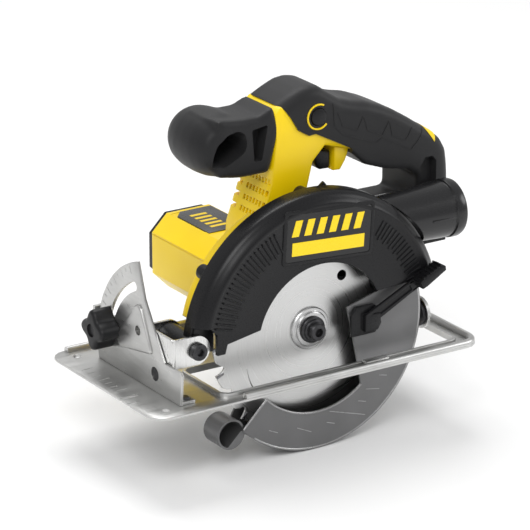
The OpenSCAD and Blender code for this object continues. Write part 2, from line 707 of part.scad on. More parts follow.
module motor_end_cap() color("#2a2a2c") {
    difference() {
        union() {
            along_y(cap_from, motor_end) translate([motor_x, motor_z])
                octagon(motor_w - 3, motor_h - 3, 14);
            translate([motor_x - motor_w / 2 - 1, cap_from + 1, motor_z - 13]) cube([14, 7, 26]);
            rod_y(motor_x, motor_z, cap_from - 14, cap_from + 1, motor_bearing_d + 6);
        }
        rod_y(motor_x, motor_z, cap_from - 15, cap_from + 2, motor_bearing_d + 2 * run_fit);
        for (i = [-3:3]) translate([motor_x + 7 * i - 1.5, cap_from + 3, motor_z - 18]) cube([3, 9, 36]);
    }
}
module motor_label() color("#4a4a4c") {
    translate([motor_x - 17, motor_end - 66, motor_z + motor_h / 2]) cube([34, 52, 0.8]);
}
module stator_can() color("silver") {
    tube_y(motor_x, motor_z, can_from, can_from + can_l, stator_d, stator_d - 4);
}
module magnets() color("dimgray") {
    translate([motor_x, 0, motor_z]) along_y(can_from + 2, can_from + can_l - 2)
        for (a = [0, 180]) sector(14, stator_d / 2 - 2.1, a - 65, a + 65);
}
module armature_core() color("gray") {
    difference() {
        translate([motor_x, 0, motor_z]) along_y(can_from + 4, can_from + can_l - 4)
            polygon([for (i = [0:11], q = [[-0.36, 13], [0.36, 13], [0.4, 8], [0.6, 8]])
                let (a = 30 * (i + q[0])) [q[1] * cos(a), q[1] * sin(a)]]);
        rod_y(motor_x, motor_z, 0, motor_end, shaft_d + 2 * run_fit);
    }
}
module windings() color("#b5651d") {
    for (y = [can_from - 1.5, can_from + can_l - 3.7])
        tube_y(motor_x, motor_z, y, y + 5, 23, shaft_d + 4);
}
comm_from = can_from + can_l + 8;
module commutator() color("#b5651d") {
    tube_y(motor_x, motor_z, comm_from, comm_from + 13, 17, shaft_d + 2 * run_fit);
}
module brush_holders() color("goldenrod") {
    for (s = [-1, 1]) translate([motor_x, comm_from + 2, motor_z]) scale([s, 1, 1]) difference() {
        translate([12, 0, -5]) cube([9.5, 9, 10]);
        translate([11, 1, -4]) cube([9.5, 7, 8]);
    }
}
module brushes() color("#303030") {
    for (s = [-1, 1]) translate([motor_x, comm_from + 3.1, motor_z]) scale([s, 1, 1])
        translate([9, 0, -3.9]) cube([11, 6.8, 7.8]);
}
module motor_shaft() color("silver") {
    rod_y(motor_x, motor_z, cavity_to - 0.5, cap_from - 1, shaft_d);
    rod_y(motor_x, motor_z, gear_from - 0.5, cavity_to - 0.5 + eps, pinion_bore);
}
module cooling_fan() color("#2a2a2c") {
    difference() {
        union() {
            rod_y(motor_x, motor_z, housing_from + 5, housing_from + 6.5, stator_d - 5);
            rod_y(motor_x, motor_z, housing_from + 5, housing_from + 12, 14);
            for (a = [0:30:330]) translate([motor_x, 0, motor_z]) rotate([0, a, 0])
                translate([6, housing_from + 5, -0.6]) cube([14, 7, 1.2]);
        }
        rod_y(motor_x, motor_z, 0, motor_end, shaft_d + 2 * run_fit);
    }
}
module motor_bearings() color("silver") {
    tube_y(motor_x, motor_z, cavity_to, cavity_to + bearing_w, motor_bearing_d, shaft_d + 2 * run_fit);
    tube_y(motor_x, motor_z, cap_from - 11, cap_from - 4, motor_bearing_d, shaft_d + 2 * run_fit);
}

// ---- Handles ----
near_face = handle_y - handle_w / 2;
far_face = handle_y + handle_w / 2;
grip_t = 2;
foot_z = 72;
grip_from = 46;
grip_low = 104;
// Side view of neck, grip, battery foot and lower strut, with the hand opening cut out
module handle_profile() {
    t = handle_top;
    difference() {
        polygon([[-30, 70], [-28, 96], [-15, t - 68], [-11, t - 35], [-12, t - 14], [-2, t - 8], [17, t],
            [28, t - 1], [36, t - 8], [47, t - 14.5], [70, t - 20], [95, t - 31], [120, t - 48],
            [136, t - 59], [141, t - 68], [143, t - 98], [143, foot_z], [100, foot_z],
            [96, foot_z - 6], [22, foot_z - 6]]);
        polygon([[11, 99], [22, t - 57], [32, t - 47], [54, t - 56], [66, t - 68], [84, t - 73.5],
            [100, t - 77.5], [106, t - 83], [106, 98]]);
    }
}
// Area of the soft cover: over the top of the neck, along the grip and down to the battery foot
module grip_zone() {
    t = handle_top;
    polygon([[-20, t - 9], [-6, t - 11], [1, t - 20], [7, t - 30], [16, t - 35.5], [22, t - 35],
        [grip_from, t - 46.5], [grip_from, grip_low], [200, grip_low], [200, 2 * t], [-20, 2 * t]]);
}
module skin_profile() {
    intersection() {
        grip_zone();
        difference() {
            handle_profile();
            offset(delta = -grip_t) handle_profile();
        }
    }
}
module core_profile() {
    difference() {
        handle_profile();
        skin_profile();
    }
}
module handle_half(from, to, wall_from, wall_to) {
    difference() {
        along_y(from, to) core_profile();
        along_y(wall_from, wall_to) offset(delta = -shell_t) core_profile();
        // room for the motor housing and the gear case
        along_y(housing_from - part_gap, motor_end) motor_envelope(part_gap);
        along_y(case_from - 1, case_to + part_gap) translate([0, arbor_z]) circle(r = case_r + part_gap);
        along_y(case_from - 1, case_to + part_gap) translate([motor_x, motor_z])
            circle(r = case_lobe_r + part_gap);
        translate([-60, from - 1, 0]) cube([60 + 26, case_to + 2 - from + 1, motor_z + motor_h / 2 + 4]);
        // trigger opening, lock-off bore and screw holes
        translate([trigger_x - 1, handle_y - trigger_w / 2 - 0.5, trigger_z - 6])
            cube([trigger_l + 2, trigger_w + 1, 27]);
        rod_y(lock_off_x, lock_off_z, from - 1, to + 1, lock_off_d + 2 * part_gap);
        for (p = handle_screw_at)
            rod_y(p[0], p[1], max(from - 1, near_face + 1.5), to + 1, screw_d + 2 * run_fit);
        // neck vents
        for (k = [0:2]) translate([-40, handle_y - 14, 108 + 9 * k]) for (i = [0:5])
            translate([0, 4.8 * i, 0]) cube([30, 2.6, 4]);
    }
}
handle_screw_at = [[-4, 176], [72, 168], [134, 96], [30, 80]];
lock_off_x = 24;
lock_off_z = handle_top - 22.5;
lock_off_d = 13;
trigger_x = 26;
trigger_l = 16;
trigger_w = 28;
trigger_z = 136;
module handle_near() color("#ffde00") {
    handle_half(near_face, handle_y, near_face + shell_t, handle_y + 1);
    trigger_shroud(near_face + 5, handle_y);
}
module handle_far() color("#ffde00") {
    handle_half(handle_y, far_face, handle_y - 1, far_face - shell_t);
    trigger_shroud(handle_y, far_face - 5);
}
// Webs that run down behind the trigger
module trigger_shroud(from, to) {
    along_y(from, to) polygon([[trigger_x + trigger_l + 1.2, trigger_z + 13], [54, trigger_z + 9],
        [52, trigger_z], [48, trigger_z - 5], [trigger_x + trigger_l + 1.2, trigger_z - 5]]);
}
module handle_grip() color("#2a2a2c") {
    difference() {
        along_y(near_face - grip_t, far_face + grip_t) intersection() {
            grip_zone();
            handle_profile();
        }
        along_y(near_face, far_face) core_profile();
        // opening round the trigger
        along_y(near_face - grip_t - 1, far_face + grip_t + 1)
            polygon([[20, 120], [60, 120], [56, 150], [46, 153.4], [20, 166]]);
        for (p = handle_screw_at)
            rod_y(p[0], p[1], far_face - 1, far_face + grip_t + 1, 2.4 * screw_d);
        rod_y(lock_off_x, lock_off_z, near_face - grip_t - 1, far_face + grip_t + 1,
            lock_off_d + 2 * part_gap);
    }
}
front_x = -50;
front_z = 164;
module front_handle() color("#2a2a2c") {
    difference() {
        union() {
            hull() {
                rod_y(front_x, front_z, near_face + 2, near_face + 4, front_h - 12);
                rod_y(front_x, front_z, near_face + 18, near_face + 40, front_h);
                rod_y(front_x, front_z, near_face + 56, near_face + 60, front_h - 10);
            }
            hull() {
                translate([front_x + 15, near_face + 6, front_z - 14]) cube([4, 38, 28]);
                translate([-17, near_face + 2, front_z - 26]) cube([0.5, handle_w - 4, 50]);
            }
        }
        hull() {
            rod_y(front_x - 4, front_z - 3, near_face - 1, near_face + 52, 18);
            rod_y(front_x + 6, front_z + 3, near_face - 1, near_face + 52, 18);
        }
        along_y(near_face - 1, far_face + 1) offset(delta = part_gap) handle_profile();
    }
}
module handle_screws() color("silver") {
    for (p = handle_screw_at) {
        rod_y(p[0], p[1], near_face + 2, far_face, screw_d);
        rod_y(p[0], p[1], far_face, far_face + 1.4, 2 * screw_d);
    }
}
module lock_off() color("#1c1c1e") {
    rod_y(lock_off_x, lock_off_z, near_face - 3, far_face + 3, lock_off_d);
}
module trigger() color("#1c1c1e") {
    translate([trigger_x, handle_y - trigger_w / 2, trigger_z]) cube([trigger_l - 1, trigger_w, 14]);
    translate([trigger_x + 3, handle_y - trigger_w / 2, trigger_z - 3])
        cube([trigger_l - 5, trigger_w, 3 + eps]);
}
module switch_body() color("dimgray") {
    translate([8, handle_y - 9, trigger_z + 21]) cube([38, 18, 13]);
    translate([3, handle_y - 3, trigger_z + 24]) cube([5 + eps, 6, 6]);
}
rail_l = 38;
module battery_rails() color("#2a2a2c") {
    for (s = [-1, 1]) translate([0, handle_y, 0]) scale([1, s, 1]) {
        translate([104, 12, foot_z - 12]) cube([rail_l, 3, 12]);
        translate([104, 15 - eps, foot_z - 12]) cube([rail_l, 4, 3]);
    }
}
module battery_terminals() color("goldenrod") {
    translate([104, handle_y - 7, foot_z - 5]) cube([12, 14, 5]);
    for (y = [-4.5, -0.5, 3.5]) translate([108, handle_y + y, foot_z - 10]) cube([24, 1, 5 + eps]);
    translate([108, handle_y - 4.5, foot_z - 5]) cube([24, 9, 1]);
}
module lead_wires() color("firebrick") {
    for (y = [-4, 4]) rod_z(0, handle_y + y, motor_z + motor_h / 2 + 2, trigger_z + 24, 3);
}

base_plate();
bevel_quadrant();
rear_pivot_ear();
shoe_rivets();
front_bracket();
rear_bracket();
depth_guide();
bevel_pins();
bevel_bolt();
bevel_pointer();
bevel_knob();
upper_guard();
guard_back();
dust_port();
label_plate();
guard_screws();
gear_case();
motor_housing();
motor_end_cap();
motor_label();
handle_near();
handle_far();
handle_grip();
front_handle();
handle_screws();
switch_body();
battery_terminals();
battery_rails();
stator_can();
magnets();
brush_holders();
brushes();
motor_bearings();
spindle_bearings();
depth_pivot_bolt();
depth_clamp_bolt();
guard_spring();
guard_retainer();
lead_wires();
depth_lever();
saw_blade();
inner_flange();
outer_flange();
blade_bolt();
spindle();
drive_gear();
motor_shaft();
armature_core();
windings();
commutator();
pinion();
cooling_fan();
lower_guard();
guard_lever();
trigger();
lock_off();
spindle_lock();
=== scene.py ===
"""Cordless circular saw: the visual model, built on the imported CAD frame, in metres."""
import json
import math

import bmesh
import bpy
from mathutils import Matrix, Vector

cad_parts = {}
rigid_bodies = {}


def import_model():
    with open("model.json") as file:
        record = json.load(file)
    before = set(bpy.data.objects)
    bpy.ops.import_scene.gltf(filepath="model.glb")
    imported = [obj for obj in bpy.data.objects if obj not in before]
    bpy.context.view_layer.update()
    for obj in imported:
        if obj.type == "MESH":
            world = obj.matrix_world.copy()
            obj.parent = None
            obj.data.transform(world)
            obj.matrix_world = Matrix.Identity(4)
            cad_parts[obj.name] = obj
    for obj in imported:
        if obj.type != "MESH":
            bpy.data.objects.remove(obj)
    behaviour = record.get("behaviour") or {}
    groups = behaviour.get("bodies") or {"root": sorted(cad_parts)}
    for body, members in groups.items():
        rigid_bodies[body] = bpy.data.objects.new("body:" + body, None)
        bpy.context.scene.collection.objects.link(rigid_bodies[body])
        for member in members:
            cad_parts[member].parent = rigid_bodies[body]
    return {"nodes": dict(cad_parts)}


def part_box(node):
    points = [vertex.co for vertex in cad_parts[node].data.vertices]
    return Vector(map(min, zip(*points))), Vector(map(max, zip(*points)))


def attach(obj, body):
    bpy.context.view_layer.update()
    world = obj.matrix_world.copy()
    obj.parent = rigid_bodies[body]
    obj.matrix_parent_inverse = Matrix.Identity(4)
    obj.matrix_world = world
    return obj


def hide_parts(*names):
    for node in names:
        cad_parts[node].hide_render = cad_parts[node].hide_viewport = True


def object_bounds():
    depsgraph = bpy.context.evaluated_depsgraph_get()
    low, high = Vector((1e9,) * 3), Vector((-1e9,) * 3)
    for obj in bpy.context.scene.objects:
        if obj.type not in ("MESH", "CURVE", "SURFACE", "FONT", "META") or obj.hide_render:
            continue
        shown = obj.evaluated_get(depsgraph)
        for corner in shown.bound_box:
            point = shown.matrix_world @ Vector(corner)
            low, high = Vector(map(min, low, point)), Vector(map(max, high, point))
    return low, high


bpy.ops.object.select_all(action="SELECT")
bpy.ops.object.delete()
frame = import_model()
cad_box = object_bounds()


# ---- Camera ----
# A long lens that stands off the blade side, ahead of the saw and a little above it.
turn = math.radians(-32.946)
tilt = math.radians(19.911)
aside = Vector((math.cos(turn), math.sin(turn), 0))
behind = Vector((math.sin(turn) * math.cos(tilt), -math.cos(turn) * math.cos(tilt), math.sin(tilt)))
upward = behind.cross(aside)
lens = bpy.data.cameras.new("camera")
lens.lens = 239.1
lens.sensor_width = 36
lens.clip_end = 20
camera = bpy.data.objects.new("camera", lens)
turned_to = Matrix((aside, upward, behind)).transposed().to_4x4()
camera.matrix_world = Matrix.Translation(-0.031572 * aside + 0.07188 * upward + 2.558 * behind) @ turned_to
bpy.context.scene.collection.objects.link(camera)
bpy.context.scene.camera = camera


# ---- Floor and lights ----
# A pale seamless floor under the lowest point of the guard, lit by three soft boxes
# and an even white surround.
def node_material(name):
    """A material with one Principled shader; returns it with its node tree and shader."""
    made = bpy.data.materials.new(name)
    made.use_nodes = True
    return made, made.node_tree, made.node_tree.nodes["Principled BSDF"]


def noise(tree, scale, detail=3, stretch=(1, 1, 1)):
    """A noise pattern on Object coordinates; scale is its count of waves per metre."""
    place = tree.nodes.new("ShaderNodeTexCoord")
    fit = tree.nodes.new("ShaderNodeMapping")
    fit.inputs["Scale"].default_value = stretch
    grain = tree.nodes.new("ShaderNodeTexNoise")
    grain.inputs["Scale"].default_value = scale
    grain.inputs["Detail"].default_value = detail
    tree.links.new(place.outputs["Object"], fit.inputs["Vector"])
    tree.links.new(fit.outputs["Vector"], grain.inputs["Vector"])
    return grain.outputs["Fac"]


def ramp(tree, source, low, high):
    """A value that goes from low to high as the source goes from 0.3 to 0.7."""
    step = tree.nodes.new("ShaderNodeMapRange")
    step.inputs["From Min"].default_value = 0.3
    step.inputs["From Max"].default_value = 0.7
    step.inputs["To Min"].default_value = low
    step.inputs["To Max"].default_value = high
    tree.links.new(source, step.inputs["Value"])
    return step.outputs["Result"]


def shades(tree, source, dark, light):
    """A colour that goes from dark to light as the source goes from 0.3 to 0.7."""
    blend = tree.nodes.new("ShaderNodeValToRGB")
    blend.color_ramp.elements[0].position = 0.3
    blend.color_ramp.elements[1].position = 0.7
    blend.color_ramp.elements[0].color = (*dark, 1)
    blend.color_ramp.elements[1].color = (*light, 1)
    tree.links.new(source, blend.inputs["Fac"])
    return blend.outputs["Color"]


def tone(colour, factor):
    return tuple(min(1, c * factor) for c in colour)


def bump(tree, shader, source, depth, strength=0.5, soft_edge=0.0):
    """Relief of that depth in metres, over edges that look rounded to soft_edge metres."""
    relief = tree.nodes.new("ShaderNodeBump")
    relief.inputs["Strength"].default_value = strength
    relief.inputs["Distance"].default_value = depth
    tree.links.new(source, relief.inputs["Height"])
    if soft_edge:
        edge = tree.nodes.new("ShaderNodeBevel")
        edge.samples = 4
        edge.inputs["Radius"].default_value = soft_edge
        tree.links.new(edge.outputs["Normal"], relief.inputs["Normal"])
    tree.links.new(relief.outputs["Normal"], shader.inputs["Normal"])


floor_paint, paint_tree, paint = node_material("pale_floor")
paint.inputs["Roughness"].default_value = 0.85
tree_noise = noise(paint_tree, 3)
paint_tree.links.new(
    shades(paint_tree, tree_noise, (0.90, 0.90, 0.90), (0.93, 0.93, 0.93)), paint.inputs["Base Color"])
shape = bmesh.new()
bmesh.ops.create_grid(shape, x_segments=1, y_segments=1, size=4)
bmesh.ops.translate(shape, verts=shape.verts, vec=(0, 0, cad_box[0][2] - 0.0005))
floor_mesh = bpy.data.meshes.new("floor")
shape.to_mesh(floor_mesh)
floor = bpy.data.objects.new("floor", floor_mesh)
floor_mesh.materials.append(floor_paint)
bpy.context.scene.collection.objects.link(floor)

surround = bpy.data.worlds.new("studio")
surround.use_nodes = True
surround.node_tree.nodes["Background"].inputs["Color"].default_value = (1, 1, 1, 1)
surround.node_tree.nodes["Background"].inputs["Strength"].default_value = 0.55
bpy.context.scene.world = surround
bpy.context.scene.view_settings.view_transform = "Standard"


def soft_box(name, place, size, power):
    """A square area light that points at the middle of the saw."""
    lamp = bpy.data.lights.new(name, "AREA")
    lamp.size = size
    lamp.energy = power
    holder = bpy.data.objects.new(name, lamp)
    holder.location = place
    aim = Vector((0, 0.03, 0.07)) - Vector(place)
    holder.rotation_euler = aim.to_track_quat("-Z", "Y").to_euler()
    bpy.context.scene.collection.objects.link(holder)


soft_box("key_light", (-1.2, -1.3, 1.7), 1.0, 22)
soft_box("side_light", (1.6, -0.9, 0.9), 0.8, 9)
soft_box("top_light", (0.2, 0.9, 1.9), 1.2, 22)


# ---- Shoe ----
# One pressed steel sheet, satin along its length. Its long edges are rolled over into round
# rims, and a low collar stands round the blade opening.
MM = 0.001


def corners(node):
    """Lowest and highest corner of a CAD node in millimetres."""
    low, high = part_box(node)
    return low / MM, high / MM


def slab(bm, outline, start, end, rim=0.0, steps=2, corner=0.0, along="Y", kept=None):
    """An outline made thick: drawn in X-Z and thick along Y, in Y-Z along X, or in X-Y along Z.
    corner rounds the outline's own corners and rim rounds its two faces' edges."""
    place = {
        "Y": lambda a, b: (a, start, b),
        "X": lambda a, b: (start, a, b),
        "Z": lambda a, b: (a, b, start),
    }[along]
    way = {"Y": (0, 1, 0), "X": (1, 0, 0), "Z": (0, 0, 1)}[along]
    cap = bm.faces.new([bm.verts.new(place(a, b)) for a, b in outline])
    if corner:
        bmesh.ops.bevel(bm, geom=list(cap.verts), offset=corner, segments=4, profile=0.5,
                        affect="VERTICES", clamp_overlap=True, material=-1)
        cap = max((f for f in bm.faces if f.is_valid and not f.tag), key=lambda f: len(f.verts))
    whole = bmesh.ops.extrude_face_region(bm, geom=[cap], use_keep_orig=True)
    moved = [g for g in whole["geom"] if isinstance(g, bmesh.types.BMVert)]
    bmesh.ops.translate(bm, verts=moved, vec=Vector(way) * (end - start))
    far_cap = next(g for g in whole["geom"] if isinstance(g, bmesh.types.BMFace))
    shell = set(cap.edges) | set(far_cap.edges)
    if rim:
        edges = [e for e in shell if kept is None or kept(e)]
        bmesh.ops.bevel(bm, geom=edges, offset=rim, segments=steps, profile=0.5,
                        affect="EDGES", clamp_overlap=False, material=-1)
    for face in bm.faces:
        face.tag = True


def block(bm, low, high, rim=0.0, steps=2):
    """A box between two corners, with rounded edges."""
    made = bmesh.ops.create_cube(bm, size=1)["verts"]
    size = Vector(high) - Vector(low)
    bmesh.ops.scale(bm, verts=made, vec=size)
    bmesh.ops.translate(bm, verts=made, vec=(Vector(high) + Vector(low)) / 2)
    if rim:
        edges = list({e for v in made for e in v.link_edges})
        made = bmesh.ops.bevel(bm, geom=edges, offset=rim, segments=steps, profile=0.5,
                               affect="EDGES", clamp_overlap=True, material=-1)["verts"]
    for face in bm.faces:
        face.tag = True
    return made


def ring_points(radius, start, end, steps, centre=(0, 0)):
    """Points along an arc, as pairs."""
    return [(centre[0] + radius * math.cos(math.radians(start + (end - start) * i / steps)),
             centre[1] + radius * math.sin(math.radians(start + (end - start) * i / steps)))
            for i in range(steps + 1)]


def lathe(bm, profile, centre, axis="Y", steps=96, closed=True):
    """Spins a profile of (radius, place along the axis) about that axis."""
    axes = {"Y": Vector((0, 1, 0)), "X": Vector((1, 0, 0)), "Z": Vector((0, 0, 1))}
    out = {"Y": Vector((1, 0, 0)), "X": Vector((0, 1, 0)), "Z": Vector((1, 0, 0))}[axis]
    centre = Vector(centre)
    dots = [bm.verts.new(centre + out * r + axes[axis] * a) for r, a in profile]
    pairs = list(zip(dots, dots[1:] + dots[:1])) if closed else list(zip(dots, dots[1:]))
    lines = [bm.edges.new(pair) for pair in pairs]
    bmesh.ops.spin(bm, geom=dots + lines, cent=centre, axis=axes[axis], angle=2 * math.pi,
                   steps=steps, use_merge=True)
    bmesh.ops.remove_doubles(bm, verts=bm.verts, dist=0.001)
    for face in bm.faces:
        face.tag = True


def object_from(bm, name):
    """Turns a bmesh in millimetres into an object in metres, with its faces pointing out."""
    bmesh.ops.recalc_face_normals(bm, faces=bm.faces)
    bmesh.ops.scale(bm, vec=(MM, MM, MM), verts=bm.verts)
    mesh = bpy.data.meshes.new(name)
    bm.to_mesh(mesh)
    bm.free()
    made = bpy.data.objects.new(name, mesh)
    bpy.context.scene.collection.objects.link(made)
    return made


def settle(piece):
    """Applies a piece's modifiers to its mesh."""
    seen = bpy.context.evaluated_depsgraph_get()
    old = piece.data
    piece.data = bpy.data.meshes.new_from_object(piece.evaluated_get(seen))
    piece.modifiers.clear()
    bpy.data.meshes.remove(old)


def carve(piece, cutter, operation="DIFFERENCE"):
    """Cuts one object out of another, joins it on, or keeps what they share."""
    cut = piece.modifiers.new("cut", "BOOLEAN")
    cut.operation = operation
    cut.object = cutter
    cut.solver = "EXACT"
    settle(piece)
    bpy.data.objects.remove(cutter)


def smooth(piece, angle=32):
    """Smooth shading, with edges sharper than the angle kept."""
    piece.data.shade_smooth()
    piece.data.set_sharp_from_angle(angle=math.radians(angle))


def fit(piece, body, finish, *nodes, sharp=32):
    """Gives a piece its finish, the body it moves with and the CAD nodes it stands for."""
    smooth(piece, sharp)
    piece.data.materials.clear()
    piece.data.materials.append(finish)
    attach(piece, body)
    if nodes:
        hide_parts(*nodes)
    return piece


def dress(finish, *nodes):
    """Gives CAD nodes their finish."""
    for node in nodes:
        mesh = frame["nodes"][node].data
        mesh.materials.clear()
        mesh.materials.append(finish)


def drawn_steel(name, colour, rough, grain_way):
    """Satin steel: fine lines along the sheet, cloudy at a larger scale."""
    made, tree, shader = node_material(name)
    shader.inputs["Metallic"].default_value = 1
    lines = noise(tree, 700, 4, grain_way)
    clouds = noise(tree, 26)
    tree.links.new(shades(tree, clouds, tone(colour, 0.88), tone(colour, 1.08)), shader.inputs["Base Color"])
    tree.links.new(ramp(tree, lines, rough - 0.07, rough + 0.09), shader.inputs["Roughness"])
    bump(tree, shader, lines, 0.00003, 0.35, 0.0004)
    return made


steel = drawn_steel("satin_steel", (0.60, 0.60, 0.59), 0.36, (0.06, 1, 1))
blade_low, blade_high = corners("saw_blade")
arbor = (blade_low + blade_high) / 2
plate_low, plate_high = corners("base_plate")
sheet_t = 2
roll = 2.9
nose_back = -77

bm = bmesh.new()
slab(bm, [(plate_low.x, plate_low.y), (plate_high.x, plate_low.y), (plate_high.x, plate_high.y),
          (plate_low.x, plate_high.y)], 0, sheet_t, 0.5, 2, 13.5, "Z")
plate = object_from(bm, "shoe_plate")
opening = [(-89, -26), (113, -26), (113, 30), (-89, 30)]
collar_line = [(-91.2, -28.2), (115.2, -28.2), (115.2, 32.2), (-91.2, 32.2)]
bm = bmesh.new()
slab(bm, collar_line, 0.5, 5, 0.5, 2, 7.5, "Z")
carve(plate, object_from(bm, "collar"), "UNION")
bm = bmesh.new()
slab(bm, opening, -5, 12, 0, 2, 6, "Z")
carve(plate, object_from(bm, "opening_cut"))
# Kerf notches at no bevel and at 45 degrees, and guide marks beside them
bm = bmesh.new()
block(bm, (plate_low.x - 2, -1, -2), (plate_low.x + 8, 2, 5))
block(bm, (plate_low.x - 2, 10, -2), (plate_low.x + 14, 13, 5))
for mark in range(7):
    length = 9 if mark % 3 == 0 else 6
    block(bm, (plate_low.x + 5, 26 + 8 * mark, sheet_t - 0.25), (plate_low.x + 5 + length, 26.7 + 8 * mark, 4))
for centre in ((-136, -24), (122, 100), (-136, 100)):
    bmesh.ops.create_cone(bm, cap_ends=True, segments=32, radius1=3, radius2=3, depth=10,
                          matrix=Matrix.Translation((*centre, 1)))
carve(plate, object_from(bm, "notches"))
fit(plate, "shoe", steel, "base_plate")


def wire(name, route, radius, closed=False, bend=0):
    """A round bar along a route of points in millimetres, with its corners rounded to bend."""
    bm = bmesh.new()
    dots = [bm.verts.new(p) for p in route]
    for a, b in zip(dots, dots[1:] + (dots[:1] if closed else [])):
        bm.edges.new((a, b))
    if bend:
        inner = [v for v in dots if len(v.link_edges) == 2]
        bmesh.ops.bevel(bm, geom=inner, offset=bend, segments=6, profile=0.5, affect="VERTICES",
                        clamp_overlap=True, material=-1)
    line = object_from(bm, name + "_line")
    bpy.ops.object.select_all(action="DESELECT")
    bpy.context.view_layer.objects.active = line
    line.select_set(True)
    bpy.ops.object.convert(target="CURVE")
    line.data.bevel_depth = radius * MM
    line.data.bevel_resolution = 4
    line.data.use_fill_caps = True
    bpy.ops.object.convert(target="MESH")
    line.select_set(False)
    line.name = name
    return line


rim_near = plate_low.y + roll
rim_far = plate_high.y - roll
rim_rear = plate_high.x - roll
rims = wire("shoe_rims", [
    (nose_back, rim_near, roll), (rim_rear, rim_near, roll), (rim_rear, rim_far, roll),
    (plate_low.x + 14, rim_far, roll)], roll, bend=11)
fit(rims, "shoe", steel)
bm = bmesh.new()
tab_low = (28, -34, 4.5)
block(bm, tab_low, (48, -27.8, 6.5), 0.5)
fit(object_from(bm, "guard_stop_tab"), "shoe", steel)


# ---- Bevel quadrant ----
# A pressed steel plate, standing on the shoe's nose and riveted to it. It has an arc slot
# for the bevel bolt, a degree scale stamped along its edge and a raised stiffening panel.
quad_low, quad_high = corners("bevel_quadrant")
pins_low, pins_high = corners("bevel_pins")
pivot = (pins_low + pins_high) / 2
quad_back = quad_low.x + 2.5
quad_r = 81
slot_r = 64
hub = (pivot.y, pivot.z)


def around(radius, angle):
    """A point at that radius and angle round the bevel axis, as (Y, Z)."""
    return (hub[0] + radius * math.cos(math.radians(angle)), hub[1] + radius * math.sin(math.radians(angle)))


bm = bmesh.new()
outline = [(hub[0] + 79, 2.2)] + ring_points(quad_r, 4, 74, 24, hub) + [
    (hub[0] + 14, hub[1] + 52), (hub[0] - 12, hub[1] + 12), (hub[0] - 34, hub[1] + 12),
    (hub[0] - 36, hub[1] + 10), (hub[0] - 34, 2.2)]
slab(bm, outline, quad_low.x, quad_back, 0.5, 2, along="X")
# foot, bent forward out of the plate
foot_front = quad_low.x + 13
slab(bm, [(quad_low.x + 0.3, 2.1), (foot_front, 2.1), (foot_front, 4.4), (quad_low.x + 3, 4.4),
          (quad_low.x + 0.3, 6)], hub[0] - 33.5, hub[0] + 78.5, 0.4)
quadrant = object_from(bm, "bevel_quadrant_plate")
bm = bmesh.new()
slab(bm, ring_points(slot_r + 3.5, 15, 65, 24, hub) + ring_points(3.5, 65, 245, 8, around(slot_r, 65))[1:-1]
     + ring_points(slot_r - 3.5, 65, 15, 24, hub) + ring_points(3.5, 195, 375, 8, around(slot_r, 15))[1:-1],
     quad_low.x - 2, quad_back + 2, along="X")
for degree in range(0, 51, 5):
    start = around(quad_r - (7.5 if degree % 10 == 0 else 5), 15 + degree)
    end = around(quad_r - 2, 15 + degree)
    side = Vector((-math.sin(math.radians(15 + degree)), math.cos(math.radians(15 + degree)))) * 0.3
    slab(bm, [(start[0] - side.x, start[1] - side.y), (start[0] + side.x, start[1] + side.y),
              (end[0] + side.x, end[1] + side.y), (end[0] - side.x, end[1] - side.y)],
         quad_low.x - 1, quad_low.x + 0.25, along="X")
# room over the foot for the bracket's pivot boss
block(bm, (quad_back + 0.01, hub[0] - 19, 2), (quad_back + 12, hub[0] + 9, 7))
carve(quadrant, object_from(bm, "slot_and_scale"))
bm = bmesh.new()
panel = [(hub[0] + 2, hub[1] + 14), (hub[0] + 46, hub[1] + 6), (hub[0] + 52, hub[1] + 12),
         (hub[0] + 24, hub[1] + 46), (hub[0] + 17, hub[1] + 46)]
slab(bm, panel, quad_low.x + 0.5, quad_low.x - 1.8, 1.6, 4, 5, "X",
     kept=lambda e: all(v.co.x < quad_low.x for v in e.verts))
carve(quadrant, object_from(bm, "panel"), "UNION")
bm = bmesh.new()
lathe(bm, [(5.2, -3), (5.2, 3), (0.01, 3), (0.01, -3)], (quad_low.x, *hub), "X", 40)
lathe(bm, [(3.6, -3), (3.6, 4), (0.01, 4), (0.01, -3)], (quad_low.x, hub[0] + 20, hub[1] + 27), "X", 32)
carve(quadrant, object_from(bm, "pin_hole"))
quad_steel = drawn_steel("quadrant_steel", (0.56, 0.56, 0.55), 0.34, (1, 0.08, 1))
fit(quadrant, "shoe", quad_steel, "bevel_quadrant", sharp=25)


# ---- Pins, rivets and small steel parts ----
# Turned or cropped steel, blackened against rust; only wear shows bare metal.
def blackened_steel(name, colour, rough):
    made, tree, shader = node_material(name)
    shader.inputs["Metallic"].default_value = 0.85
    mottle = noise(tree, 320, 5)
    tree.links.new(shades(tree, mottle, tone(colour, 0.75), tone(colour, 1.25)), shader.inputs["Base Color"])
    tree.links.new(ramp(tree, mottle, rough - 0.08, rough + 0.08), shader.inputs["Roughness"])
    bump(tree, shader, mottle, 0.00002, 0.4, 0.0004)
    return made


black_steel = blackened_steel("blackened_steel", (0.055, 0.055, 0.058), 0.38)
dress(black_steel, "rear_bracket", "shoe_rivets", "bevel_pins", "bevel_bolt", "depth_pivot_bolt",
      "depth_clamp_bolt", "depth_guide", "inner_flange", "drive_gear", "armature_core")
dress(steel, "rear_pivot_ear", "bevel_pointer")


